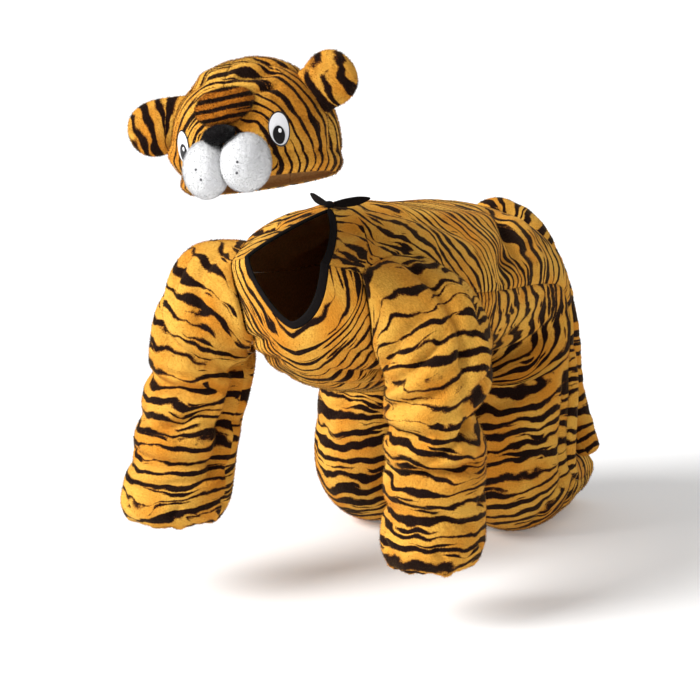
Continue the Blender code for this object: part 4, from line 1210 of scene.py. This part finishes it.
def knit_back(name, colour, specular=0.15):
    """The knitted reverse of the plush: fine rows of loops."""
    tree = Tree(name)
    spread = tree.add("ShaderNodeVectorMath", {"operation": "MULTIPLY"}, i0=tree.place, i1=LOOP_SCALE)
    rows = tree.add(
        "ShaderNodeTexWave", {"bands_direction": "Y"},
        Vector=spread.outputs[0], Scale=LOOP_ROWS, Distortion=LOOP_WAVER,
    )
    darker = rgba([0.8 * part for part in colour])
    shade = tree.mix(tree.ramp(tree.field("loops"), 0.3, 0.7), darker, rgba(colour))
    tree.put(tree.shader.inputs["Base Color"], shade)
    tree.put(tree.shader.inputs["Normal"], tree.bump(LOOP_BUMP, rows.outputs["Fac"]).outputs[0])
    tree.shader.inputs["Roughness"].default_value = 0.9
    tree.shader.inputs["Specular IOR Level"].default_value = specular
    return tree.look


def glossy(name, colour):
    """Smooth plastic with faint scuffs, for the pupils and their glints."""
    tree = Tree(name)
    worn = [0.93 * part for part in colour]
    tree.put(tree.shader.inputs["Base Color"], tree.scuffed(colour, worn, 0.14, 0.24))
    tree.shader.inputs["Specular IOR Level"].default_value = 0.22
    return tree.look


def eye_look(name):
    """White oval with a thin black outline; the stripe number is the share of its outline."""
    tree = Tree(name)
    white = tree.scuffed((0.86, 0.86, 0.88), (0.80, 0.80, 0.83), 0.16, 0.26)
    outline = tree.ramp(tree.numbers()[0], 0.93, 0.96)
    tree.put(tree.shader.inputs["Base Color"], tree.mix(outline, white, rgba(INK)))
    return tree.look


# Jumpsuit
def cut_grid(table, body, is_back, side, stripes):
    """One cut of the body at full length, from the side seam to the middle or inseam."""
    way = 1 if is_back else -1
    at = np.concatenate([
        np.linspace(0, ARM_FRONT_END, NECK_ROWS)[:-1],
        armhole_at(way * np.linspace(math.pi, 0, ARM_ROWS // 2 + 1)),
        np.linspace(ARM_REAR_END, len(table) - 1, TRUNK_ROWS + LEG_ROWS)[1:],
    ])
    in_arm = arm_edge(at, is_back)
    depth = spline(numbers(table), at)[..., 4 if is_back else 5]
    start = np.maximum(in_arm, SEAM / 2 / depth)
    end = middle_edge(table, at, is_back)
    turn = way * (start[:, None] + (end - start)[:, None] * np.linspace(0, 1, PANEL_COLUMNS))
    period, slant, share = read_rows(stripes, at)
    seam, seam_normal = side_seam(body, at, way)
    at = widened(at, PANEL_COLUMNS)
    outer = body(at, turn)
    normal = facing(body, at, turn)
    in_arm = in_arm[:, None] > 0
    outer[:, 0] = np.where(in_arm, outer[:, 0], seam)
    normal[:, 0] = np.where(in_arm, normal[:, 0], seam_normal)
    apart = outer[:, -1, 0] >= SEAM
    on_middle = np.arange(len(at)) < (np.argmax(apart) if apart.any() else len(at))
    outer[on_middle, -1, 0] = 0
    normal[on_middle, -1, 0] = 0
    normal = unit(normal)

    along = lengths(outer, 0)
    around = lengths(outer[:, ::-1], 1)[:, ::-1]
    mean = along.mean(1)
    shift = valley(lengths(outer, 1), SEAM_DEPTH)
    if is_back:
        shift += valley(around, SEAM_DEPTH * MIDDLE_SHARE) * on_middle[:, None]
    shift += valley(around, SEAM_DEPTH) * ~on_middle[:, None]
    shift += valley(along[-1] - along, HEM_DEPTH, HEM_HALF)
    outer = outer - shift[..., None] * normal
    inner = outer - SHELL * normal
    for grid in (outer, inner):
        grid[..., 0] = np.maximum(grid[..., 0], 0)
        grid[~on_middle, :, 0] = np.maximum(grid[~on_middle, :, 0], SEAM / 2)
        grid[on_middle, -1, 0] = 0

    phase = np.concatenate([[0], np.cumsum(np.diff(mean) / period[1:])])
    extra = np.cumsum(np.diff(along - mean[:, None], axis=0) / period[1:, None], axis=0)
    extra = np.concatenate([np.zeros((1, PANEL_COLUMNS)), extra])
    own = OWN_LENGTH * np.clip((OWN_LENGTH_END - at) / OWN_LENGTH_FADE, 0, 1)
    phase = phase[:, None] + own * extra + (slant / period)[:, None] * around
    stripe = np.stack([phase, widened(share, PANEL_COLUMNS), crowded(along, mean)], -1)
    cloth = np.stack([side * around, widened(mean, PANEL_COLUMNS)], -1)
    return Grid(outer, inner, cloth, stripe, on_middle)


def make_cuts(name, is_back, sides, stripes, looks):
    """Both cuts of the front or of the back, joined where they meet on the middle."""
    cuts = [cut_grid(table, body, is_back, side, stripes) for side, table, body in sides]
    left, right = cuts
    both = left.joined & right.joined
    for of_left, of_right in ((left.outer, right.outer), (left.inner, right.inner)):
        mean = (of_left[:, -1] + of_right[:, -1]) / 2
        mean[:, 0] = 0
        of_left[both, -1] = mean[both]
        of_right[both, -1] = mean[both]
    for cut, (side, _table, _body) in zip(cuts, sides):
        cut.outer = placed(cut.outer, side)
        cut.inner = placed(cut.inner, side)
        cut.joined = both
    return shell(name, cuts, looks)


def make_sleeve(name, side, table, cap, body, folds, looks):
    """One sleeve, with its underarm seam, its stripes and its gathered cuff."""
    last = len(table) + 1
    at = np.concatenate([
        np.linspace(0, SLEEVE_LOW, SLEEVE_LONG)[:-1],
        np.linspace(SLEEVE_LOW, last, SLEEVE_CUFF_ROWS),
    ])
    turn = round_turns(SLEEVE_ROUND) - math.pi / 2
    at_grid, turn_grid = np.meshgrid(at, turn % (2 * math.pi), indexing="ij")
    outer = cloth_sleeve(table, cap, body, folds)(at_grid, turn_grid)
    normal = tube_normals(outer)
    along = lengths(outer, 0)
    around = lengths(closed(outer), 1)
    total = around[:, -1:]
    near_seam = np.minimum(around[:, :-1], total - around[:, :-1])
    shift = valley(along, SEAM_DEPTH) + valley(near_seam, SEAM_DEPTH * UNDERARM_SHARE, UNDERARM_HALF)
    wave = np.clip((at_grid - last + CUFF_GATHER_START) / CUFF_GATHER_RUN, 0, 1) ** 2
    for gathers, start, depth in UNEVEN_GATHERS:
        shift = shift - depth * wave * np.cos(gathers * turn_grid + start)
    outer = outer - shift[..., None] * normal
    inner = closed(outer - SHELL * normal)
    outer = closed(outer)
    columns = outer.shape[1]

    mean = along.mean(1)
    period, slant, share = read_rows(SLEEVE_STRIPES, at)
    phase = np.concatenate([[0], np.cumsum(np.diff(mean) / period[1:])])
    phase = phase[:, None] + (slant / period)[:, None] * np.abs(around - total / 2)
    stripe = np.stack([phase, widened(share, columns), closed(crowded(along, mean))], -1)
    cloth = np.stack([side * (around - total / 2) + SLEEVE_CLOTH[side], widened(mean, columns)], -1)
    return shell(name, [Grid(placed(outer, side), placed(inner, side), cloth, stripe, rims=False)], looks)


def smooth_rings(rings, rows, columns=PAD_ROUND):
    """Rings read between their points on smooth curves, with the first column repeated."""
    rings = np.asarray(rings, float)
    count = rings.shape[1]
    place = np.linspace(0, count, columns + 1)
    column = np.minimum(place.astype(int), count - 1)
    near = [rings[:, (column + step) % count] for step in (-1, 0, 1, 2)]
    fine = eased(*near, (place - column)[None, :, None])
    flat = spline(fine.reshape(len(rings), -1), np.linspace(0, len(rings) - 1, rows))
    return flat.reshape(rows, columns + 1, 3)


def ring_numbers(rings, kind, shift=0.0):
    """The cloth's own coordinates on rings, and stripes across their length."""
    along = lengths(rings, 0).mean(1)
    period, share = kind
    rows, columns = rings.shape[:2]
    phase = widened(along / period + shift, columns)
    stripe = np.stack([phase, np.full((rows, columns), share), np.zeros((rows, columns))], -1)
    across = lengths(rings, 1) + RING_CLOTH + shift * RING_CLOTH_STEP
    return np.stack([across, widened(along, columns)], -1), stripe


def plain_pod(name, rings, look):
    """A padded piece without stripes."""
    return pod(name, rings, *ring_numbers(rings, NO_STRIPE), look)


def make_tail(look):
    """The lightly stuffed tail, with its root on the back."""
    body = cloth_body(BODY + LEFT_LEG, ())
    root_at = np.array(TAIL_ROOT_AT)
    root_turn = np.array(math.radians(TAIL_ROOT_TURN))
    root = body(root_at, root_turn)
    stand = facing(body, root_at, root_turn)
    rows = spline(numbers(TAIL), np.linspace(0, len(TAIL) - 1, TAIL_ROWS))
    centre = rows[:, :3]
    along = unit(np.gradient(centre, axis=0))
    side = unit(np.cross(along, TAIL_SIDE))
    up = np.cross(side, along)
    turn = round_turns(PAD_ROUND)
    ring = np.cos(turn)[None, :, None] * side[:, None] + np.sin(turn)[None, :, None] * up[:, None]
    run = lengths(centre, 0)
    depth, rate, start, slow_rate = TAIL_SLACK
    soft = 1 + depth * np.sin(run * rate + start) * np.sin(run * slow_rate)
    depth, rate = TAIL_RIPPLE
    soft = soft + depth * np.sin(run * rate)
    rings = centre[:, None] + (rows[:, 3] * soft)[:, None, None] * ring
    flat = ring[0] - (ring[0] @ stand)[:, None] * stand
    base = root + (SEAM + TAIL_LIFT) * stand + TAIL_ROOT_RADIUS * unit(flat)
    tips = [centre[-1] + step * along[-1] + share * (rings[-1] - centre[-1]) for step, share in TAIL_TIP]
    rings = closed(np.concatenate([base[None], rings, np.stack(tips)]))
    made = pod("plush_tail", rings, *ring_numbers(rings, TAIL_STRIPE), look)
    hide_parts("tail")
    return made


# Hat
def hat_half(name, side, looks):
    """Half of the hat, with its turned edge, seam, creases and stripes."""
    across, along = np.meshgrid(
        np.linspace(0, 1, HAT_ACROSS + 1), np.linspace(1, -1, HAT_ALONG + 1), indexing="ij"
    )
    front = along * np.sqrt(1 - across**2 / 2)
    lateral = across * np.sqrt(1 - along**2 / 2)
    azimuth = np.arctan2(lateral, front)
    rim = np.radians(HAT_RIM + HAT_RIM_CHANGE * np.cos(azimuth))
    reach = np.hypot(front, lateral)
    elevation = math.pi / 2 - reach * (math.pi / 2 - rim)
    plain = on_hat(side, azimuth, elevation, np.zeros(azimuth.shape))
    left, ahead, up = hat_axes()

    # Turned edge, stitches, seam and creases
    to_rim = (1 - reach) * (math.pi / 2 - rim) * HAT_RADIUS
    rise, place, half = HAT_EDGE_ROLL
    height = valley(to_rim - place, rise, half) - valley(to_rim, *HAT_EDGE_VALLEY)
    gather = 1 + sum(depth * np.sin(count * azimuth + start) for depth, count, start in HAT_GATHERS)
    height = height - valley(to_rim - HAT_STITCH_PLACE, *HAT_STITCH) * gather
    height = height - valley(np.abs((plain - HAT_CENTRE) @ left), SEAM_DEPTH, HAT_SEAM_HALF)
    part = np.linspace(0, 1, CREASE_POINTS)
    lines = []
    for _name, of_side, az_start, el_start, az_end, el_end, width, depth in HAT_CREASES:
        if of_side == side:
            crease_az = np.radians(az_start + (az_end - az_start) * part)
            crease_el = np.radians(el_start + (el_end - el_start) * part)
            lines.append((on_hat(side, crease_az, crease_el, 0 * part), width, CREASE_SHARE * depth))
    upright = np.zeros(plain.shape)
    upright[..., 2] = 1
    height = height + (folded(plain, upright, lines) - plain)[..., 2]
    outer = on_hat(side, azimuth, elevation, height)
    inner = on_hat(side, azimuth, elevation, height - SHELL)
    inner[0] = on_middle(inner[0], side)

    # Stripes in rings round the face, and across the middle seam behind
    local = unit(plain - HAT_CENTRE)
    face = unit(ahead - FACE_DROP * up)
    over = unit(up + FACE_DROP * ahead)
    arc = np.arccos(np.clip(local @ face, -1, 1)) * HAT_RADIUS
    bearing = np.arctan2(local @ left, local @ over)
    across_seam = np.arctan2(local @ over, local @ face) % (2 * math.pi) * HAT_RADIUS
    rear = np.clip((arc - HAT_REAR_START) / HAT_REAR_RUN, 0, 1)
    rear = rear * rear * (3 - 2 * rear)
    arc = (1 - rear) * arc + rear * across_seam
    period, share = HAT_STRIPE
    stripe = np.stack([arc / period, np.full(arc.shape, share), np.zeros(arc.shape)], -1)
    cloth = np.stack([bearing * HAT_CLOTH_SCALE + HAT_CLOTH, arc], -1)
    made = shell(f"plush_{name}", [Grid(outer, inner, cloth, stripe)], looks)
    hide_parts(name)
    return made


def pad_rings(side, place, profile, slope=0.0, droop=0.0, split=False):
    """Rings of a piece on the hat, smoothed, and the share of its outline at each row."""
    middle, height, half_width, half_height = place
    rings = []
    turn = round_turns(RING_POINTS)
    for share, lift in profile:
        rise = np.where(lift > SEAM, lift * (1 - slope * share * np.sin(turn)), lift)
        radius = HAT_RADIUS + rise
        up = height - droop * lift + half_height * share * np.sin(turn)
        out = middle + half_width * share * np.cos(turn)
        if split:
            out = np.maximum(out, 0)
        elevation = up / radius
        azimuth = out / (radius * np.cos(elevation))
        rings.append(on_hat_both(side, azimuth, elevation, rise))
    rings = smooth_rings(rings, PAD_ROWS)
    at = np.linspace(0, len(profile) - 1, PAD_ROWS)
    shares = np.interp(at, np.arange(len(profile)), [row[0] for row in profile])
    centre = rings[-1, :-1].mean(0)
    tip = centre + PAD_TIP * (rings[-1] - centre) + PAD_TIP_STEP * (rings[-1] - rings[-2])
    return np.concatenate([rings, tip[None]]), np.concatenate([shares, [PAD_TIP * shares[-1]]])


def pad(name, node, side, place, profile, look, slot, stripes=None, padding=None, **shape):
    """A piece on the hat: plastic with its outline's share as a number, or plush if padded."""
    rings, shares = pad_rings(side, place, profile, **shape)
    cloth, stripe = ring_numbers(rings, stripes or NO_STRIPE)
    if padding:
        left, _front, up = hat_axes()
        local = rings - HAT_CENTRE
        cloth = np.stack([local @ left + PAD_CLOTH, local @ up + PAD_CLOTH], -1)
        stripe[..., 0] = (local @ up) / (stripes or NO_STRIPE)[0]
    else:
        stripe[..., 0] = shares[:, None]
    made = pod(name, rings, cloth, stripe, look)
    if node:
        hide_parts(node)
    return made, rings


def make_ear(name, side, lift, size, look):
    """A stuffed ear that stands on the hat."""
    left, front, up = hat_axes()
    azimuth = np.array(math.radians(EAR_AZIMUTH))
    elevation = np.array(math.radians(EAR_ELEVATION))
    flat = np.array(0.0)
    base = on_hat(side, azimuth, elevation, flat)
    above = on_hat(side, azimuth, elevation + EAR_STEP, flat)
    slope = unit(above - base)
    lift = math.radians(lift)
    along = math.cos(lift) * side * left + math.sin(lift) * up
    upright = math.cos(lift) * up - math.sin(lift) * side * left
    turn = round_turns(RING_POINTS)
    cos = np.cos(turn)[:, None]
    sin = np.sin(turn)[:, None]
    rings = []
    for share in EAR_BASE_SHARES:
        foot = base + share * (EAR_BASE_WIDTH * cos * slope + EAR_BASE_THICK * sin * front)
        across, ahead, high = ((foot - HAT_CENTRE) @ hat_axes().T).T
        across = across / HAT_HALF_WIDTH
        ahead = ahead / HAT_HALF_FRONT
        foot_elevation = np.arctan2(high / HAT_HEIGHT, np.hypot(across, ahead))
        foot_azimuth = np.arctan2(side * across, ahead)
        rings.append(on_hat(side, foot_azimuth, foot_elevation, np.full(turn.shape, EAR_LIFT)))
    for _name, length, half_width, half_thick in EAR:
        blend = min(length / EAR_TURN, 1)
        broad = unit((1 - blend) * slope + blend * upright)
        rings.append(base + size * length * along + half_width * cos * broad + half_thick * sin * front)
    rings = smooth_rings(rings, EAR_ROWS)
    centre = rings[-1, :-1].mean(0)
    tip = centre + EAR_TIP * (rings[-1] - centre) + along * EAR_TIP_STEP
    rings = np.concatenate([rings, tip[None]])
    cloth, stripe = ring_numbers(rings, EAR_STRIPES[side], EAR_STRIPE_START[side])
    made = pod(f"plush_{name}", rings, cloth, stripe, look)
    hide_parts(name)
    return made


# Pile: short blades on the cloth, each with the colour of the cloth at its root
def read_all(items, key, width, kind=np.float32):
    """One property of all of a mesh's items, as rows."""
    values = np.zeros(len(items) * width, kind)
    items.foreach_get(key, values)
    return values.reshape(-1, width)


def pile(name, source, look, slot):
    """Short blades over the face of a piece."""
    count, seed = PILES[name]
    length, width, stray = BLADES[slot]
    rng = np.random.default_rng(seed)
    mesh = source.data
    mesh.calc_loop_triangles()
    corners = read_all(mesh.loop_triangles, "vertices", 3, np.int32)
    loops = read_all(mesh.loop_triangles, "loops", 3, np.int32)
    owner = read_all(mesh.loop_triangles, "polygon_index", 1, np.int32)[:, 0]
    on_face = read_all(mesh.polygons, "material_index", 1, np.int32)[owner, 0] == 0
    corners = corners[on_face]
    loops = loops[on_face]
    spot = read_all(mesh.vertices, "co", 3).astype(float)
    a, b, c = (spot[corners[:, k]] for k in range(3))
    area = np.linalg.norm(np.cross(b - a, c - a), axis=1)
    pick = rng.choice(len(area), count, p=area / area.sum())
    part = rng.random((count, 2))
    part = np.where((part.sum(1) > 1)[:, None], 1 - part, part)
    share = np.stack([1 - part.sum(1), part[:, 0], part[:, 1]], -1)

    def blend(values, index):
        return (values[index[pick]] * share[..., None]).sum(1)

    root = blend(spot, corners)
    up = unit(blend(read_all(mesh.vertex_normals, "vector", 3).astype(float), corners))
    cloth = blend(read_all(mesh.uv_layers["cloth"].data, "uv", 2), loops)
    marks = blend(read_all(mesh.attributes["stripe"].data, "vector", 3), corners)
    aim = unit(up + stray * rng.normal(size=(count, 3)))
    across = unit(np.cross(aim, rng.normal(size=(count, 3))))
    reach = length * CM * (BLADE_LEAST + BLADE_SPREAD * rng.random((count, 1)))
    root = root - BLADE_ROOT * up
    half = width * CM / 2 * across
    points = np.stack([root - half, root + half, root + reach * aim], 1).reshape(-1, 3)
    faces = np.arange(3 * count).reshape(-1, 3)
    made = new_mesh(f"pile_{name}", points, faces, np.repeat(cloth, 3, 0), np.repeat(marks, 3, 0))
    made.shade_smooth()
    made.normals_split_custom_set_from_vertices(np.repeat(up, 3, 0).tolist())
    obj = in_scene(f"pile_{name}", made, [look])
    return obj


# Neck
def make_binding(look):
    """The knit binding round the neck, open at the nape."""
    quarter = np.linspace(0, math.pi / 2, BINDING_LONG)
    half = np.concatenate([[math.pi / 2 - NAPE_GAP], quarter[-2::-1], -quarter[1:]])
    rings = []
    for angle in round_turns(BINDING_ROUND):
        cos = math.cos(angle)
        out = SEAM + BINDING_WIDTH / 2 * (1 + np.sign(cos) * abs(cos) ** BINDING_POWER)
        up = BINDING_LIFT - BINDING_THICK / 2 + (BINDING_THICK / 2 + BINDING_SWELL) * math.sin(angle)
        rings.append(neckline(half, out, up))
    left = np.stack(rings, 1)
    left[:-1, :, 0] = np.maximum(left[:-1, :, 0], 2 * SEAM)
    rings = closed(np.concatenate([placed(left, 1), placed(left, -1)[-2::-1]]))
    made = plain_pod("knit_binding", rings, look)
    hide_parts("neck_binding")
    return made


def ball(levels, turn, grooves=(0.0, 0, 0.0)):
    """Rings of a ball of radius 1 with its poles left open, and grooves along it."""
    depth, count, twist = grooves
    rings = []
    for level in levels:
        wide = math.sqrt(1 - level**2) * (1 + depth * np.cos(count * turn + twist * level))
        rings.append(np.stack([wide * np.cos(turn), wide * np.sin(turn), np.full(turn.shape, level)], -1))
    return np.stack(rings)


def make_ties(look):
    """The knot at the nape and its two ends."""
    nape = placed(neckline(np.array([math.pi / 2]), SEAM + BINDING_WIDTH / 2, NAPE_LIFT), 1)[0]
    centre = nape + np.array((0.0, KNOT_BACK, KNOT_SIZE[2] + KNOT_LIFT))
    turn = round_turns(PAD_ROUND)
    levels = np.sin(np.linspace(-KNOT_END, KNOT_END, KNOT_ROWS))
    knot = plain_pod("knit_knot", closed(centre + ball(levels, turn, KNOT_GROOVES) * KNOT_SIZE), look)
    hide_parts("neck_knot")
    cos = np.cos(turn)[:, None]
    sin = np.sin(turn)[:, None]
    for side, name in ((1, "left"), (-1, "right")):
        along = unit(np.array(TIE_WAY) * (side, 1, 1))
        across = unit(np.cross(along, TIE_FACE))
        normal = np.cross(along, across)
        start = centre + along * (KNOT_SIZE[0] + TIE_GAP - TIE_START)
        rings = []
        for length, half_width in spline(numbers(TIE), np.linspace(0, len(TIE) - 1, TIE_ROWS)):
            middle = start + length * along - TIE_DROOP * length**2 * normal
            cup = TIE_CUP * half_width * cos**2
            thick = np.sign(sin) * np.abs(sin) ** TIE_POWER * TIE_THICK / 2
            rings.append(middle + cos * half_width * across + (thick + cup) * normal)
        made = plain_pod(f"knit_tie_{name}", closed(np.stack(rings)), look)
        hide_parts(f"neck_tie_{name}")


def whisker_knots(name, side, rings, look):
    """Small knots sewn into a muzzle where it faces forward."""
    left, front, up = hat_axes()
    points = rings.reshape(-1, 3)
    middle = points.mean(0)
    half_wide = np.ptp((points - middle) @ left) / 2
    half_high = np.ptp((points - middle) @ up) / 2
    levels = np.sin(np.linspace(-WHISKER_END, WHISKER_END, WHISKER_ROWS))
    for index, (across, rise) in enumerate(WHISKER_KNOTS):
        offset = points - (middle + side * across * half_wide * left + rise * half_high * up)
        away = np.linalg.norm(offset - (offset @ front)[:, None] * front, axis=1)
        near = np.argsort(away)[:KNOT_NEAREST]
        centre = points[near[np.argmax((points[near] - middle) @ front)]]
        knot = closed(centre + KNOT_RADIUS * ball(levels, round_turns(RING_POINTS)))
        plain_pod(f"thread_knot_{name}_{index}", knot, look)


TIGER = tiger_cloth("tiger_plush", 0.0)
TIGER_LOOKS = [TIGER, knit_back("plush_back", BACKING)]
DEEP_PLUSH = tiger_cloth("deep_plush", 17.0, DEEP, (0.50, 0.16, 0.015), 0.5, 0.35)
# The last number of the white plush is the depth of its painted shade between tufts
WHITE_PLUSH = plain_plush("white_plush", SNOW, (0.86, 0.86, 0.87), 0.6, 0.5, 0.93)
BLACK_PLUSH = plain_plush("black_plush", INK, (0.012, 0.010, 0.010), 1.0, 0.08)
BLACK_KNIT = knit_back("black_knit", (0.011, 0.009, 0.009), 0.04)
THREAD = plain_plush("thread", (0.10, 0.10, 0.11), (0.14, 0.14, 0.15), 0.5, 0.1)
EYE_WHITE = eye_look("eye_white")
EYE_BLACK = glossy("eye_black", INK)
EYE_GLINT = glossy("eye_glint", (0.9, 0.9, 0.92))


def make_hat():
    """Both halves of the hat, with ears, eyes, muzzle and nose."""
    for side, name, lift, size in (
        (1, "left", LEFT_EAR_LIFT, LEFT_EAR_SIZE),
        (-1, "right", RIGHT_EAR_LIFT, RIGHT_EAR_SIZE),
    ):
        half = hat_half(f"hat_{name}", side, TIGER_LOOKS)
        pile(f"hat_{name}", half, TIGER, "tiger_plush")
        ear = make_ear(f"ear_{name}", side, lift, size, TIGER)
        pile(f"ear_{name}", ear, TIGER, "tiger_plush")
        pad(f"plastic_eye_{name}", f"eye_{name}", side, EYE, EYE_PROFILE, EYE_WHITE, "white_plush")
        pad(f"plastic_pupil_{name}", f"pupil_{name}", side, PUPIL, PUPIL_PROFILE, EYE_BLACK, "black_cloth")
        glint = (2 * PUPIL[0] - GLINT[0], *GLINT[1:]) if side < 0 else GLINT
        pad(f"plastic_glint_{name}", None, side, glint, GLINT_PROFILE, EYE_GLINT, "white_plush")
        muzzle, rings = pad(
            f"plush_muzzle_{name}", f"muzzle_{name}", side, MUZZLE, MUZZLE_PROFILE, WHITE_PLUSH,
            "white_plush", padding=0.85, droop=MUZZLE_DROOP, split=True,
        )
        pile(f"muzzle_{name}", muzzle, WHITE_PLUSH, "white_plush")
        whisker_knots(name, side, rings, THREAD)
    bridge, _rings = pad(
        "plush_nose_bridge", "nose_bridge", 0, BRIDGE, BRIDGE_PROFILE, DEEP_PLUSH,
        "deep_plush", BRIDGE_STRIPE, padding=0.8, slope=BRIDGE_SLOPE,
    )
    pile("nose_bridge", bridge, DEEP_PLUSH, "deep_plush")
    nose, _rings = pad("plush_nose", "nose", 0, NOSE, NOSE_PROFILE, BLACK_PLUSH, "black_cloth", padding=0.8)
    pile("nose", nose, BLACK_PLUSH, "black_cloth")


def make_jumpsuit():
    """Front, back and sleeves, each with its pile."""
    sides = []
    for side, leg, folds in (
        (1, LEFT_LEG, LEFT_BODY_FOLDS + deeper(LEFT_BODY_CREASES)),
        (-1, RIGHT_LEG, RIGHT_BODY_FOLDS + deeper(RIGHT_BODY_CREASES)),
    ):
        sides.append((side, BODY + leg, cloth_body(BODY + leg, folds)))
    front = make_cuts("plush_front", False, sides, FRONT_STRIPES, TIGER_LOOKS)
    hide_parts("front_left", "front_right", "front_left_leg", "front_right_leg")
    back = make_cuts("plush_back", True, sides, BACK_STRIPES, TIGER_LOOKS)
    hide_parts("back_left", "back_right", "back_left_leg", "back_right_leg")
    pile("front", front, TIGER, "tiger_plush")
    pile("back", back, TIGER, "tiger_plush")
    for (side, _table, body), name, table, cap, folds in zip(
        sides,
        ("left", "right"),
        (LEFT_SLEEVE, RIGHT_SLEEVE),
        (LEFT_CAP, RIGHT_CAP),
        (LEFT_SLEEVE_FOLDS + LEFT_SLEEVE_CREASES, RIGHT_SLEEVE_FOLDS + RIGHT_SLEEVE_CREASES),
    ):
        made = make_sleeve(f"plush_sleeve_{name}", side, table, cap, body, folds, TIGER_LOOKS)
        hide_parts(f"sleeve_{name}")
        pile(f"sleeve_{name}", made, TIGER, "tiger_plush")


make_jumpsuit()
tail = make_tail(TIGER)
pile("tail", tail, TIGER, "tiger_plush")
binding = make_binding(BLACK_KNIT)
make_ties(BLACK_KNIT)
make_hat()

# Camera, from the photo's angle: direction in degrees, distance in metres, aim in centimetres, and
# focal length and width of the photo in pixels
AZIMUTH = math.radians(26.9)
ELEVATION = math.radians(12.7)
DISTANCE = 2.25
AIM = np.array((-2.3, -6.0, 26.9))
PHOTO_FOCAL = 1930
PHOTO_WIDTH = 700
SENSOR = 36.0
RIGHTWARD = np.array((math.cos(AZIMUTH), math.sin(AZIMUTH), 0.0))
LEVEL = math.cos(ELEVATION) * np.array((math.sin(AZIMUTH), -math.cos(AZIMUTH), 0.0))
UPWARD = np.array((0.0, 0.0, 1.0))
# Lights: power, softness in degrees, and direction to the right, to the camera and up
LIGHTS = (
    ("key", 4.1, 30.0, -1.3, 0.62, 1.0),
    ("rim", 0.4, 40.0, 0.9, -0.6, 0.9),
)
WORLD_POWER = 0.42
# Floor: half its size and how far it lies below the cloth, in metres, and its own glow
FLOOR_HALF = 40
FLOOR_GAP = 0.0005
FLOOR_GLOW = 0.15


def aimed(obj, place, target):
    """Put an object in the scene, turned towards a target."""
    obj.location = place
    obj.rotation_mode = "QUATERNION"
    obj.rotation_quaternion = Vector(target - place).to_track_quat("-Z", "Y")
    bpy.context.scene.collection.objects.link(obj)


target = in_metres(AIM)
camera = bpy.data.objects.new("camera", bpy.data.cameras.new("camera"))
camera.data.sensor_width = SENSOR
camera.data.lens = PHOTO_FOCAL / PHOTO_WIDTH * SENSOR
camera.data.clip_end = 100
aimed(camera, target + DISTANCE * (LEVEL + math.sin(ELEVATION) * UPWARD), target)
bpy.context.scene.camera = camera

# Floor and soft light
floor_z = -HOLD[2] * CM - FLOOR_GAP
floor_mesh = bpy.data.meshes.new("floor")
corners = [(x * FLOOR_HALF, y * FLOOR_HALF, floor_z) for x, y in ((-1, -1), (1, -1), (1, 1), (-1, 1))]
floor_mesh.from_pydata(corners, [], [(0, 1, 2, 3)])
floor = bpy.data.objects.new("floor", floor_mesh)
bpy.context.scene.collection.objects.link(floor)
paper = Tree("floor_paper", on_cloth=False)
paper_colour = paper.mix(paper.field("grain"), rgba((0.90, 0.90, 0.90)), rgba((0.92, 0.92, 0.92)))
paper.put(paper.shader.inputs["Base Color"], paper_colour)
paper.shader.inputs["Roughness"].default_value = 0.9
paper.shader.inputs["Emission Color"].default_value = (1.0, 1.0, 1.0, 1.0)
paper.shader.inputs["Emission Strength"].default_value = FLOOR_GLOW
paper.shader.inputs["Specular IOR Level"].default_value = 0.1
floor_mesh.materials.append(paper.look)

for name, power, spread, right, back, high in LIGHTS:
    lamp = bpy.data.lights.new(name, "SUN")
    lamp.energy = power
    lamp.angle = math.radians(spread)
    light = bpy.data.objects.new(name, lamp)
    aimed(light, target + right * RIGHTWARD + back * LEVEL + high * UPWARD, target)

world = bpy.data.worlds.new("studio")
bpy.context.scene.world = world
world.use_nodes = True
background = world.node_tree.nodes["Background"]
background.inputs["Color"].default_value = (1.0, 1.0, 1.0, 1.0)
background.inputs["Strength"].default_value = WORLD_POWER
bpy.context.scene.view_settings.view_transform = "Standard"

bpy.context.view_layer.update()
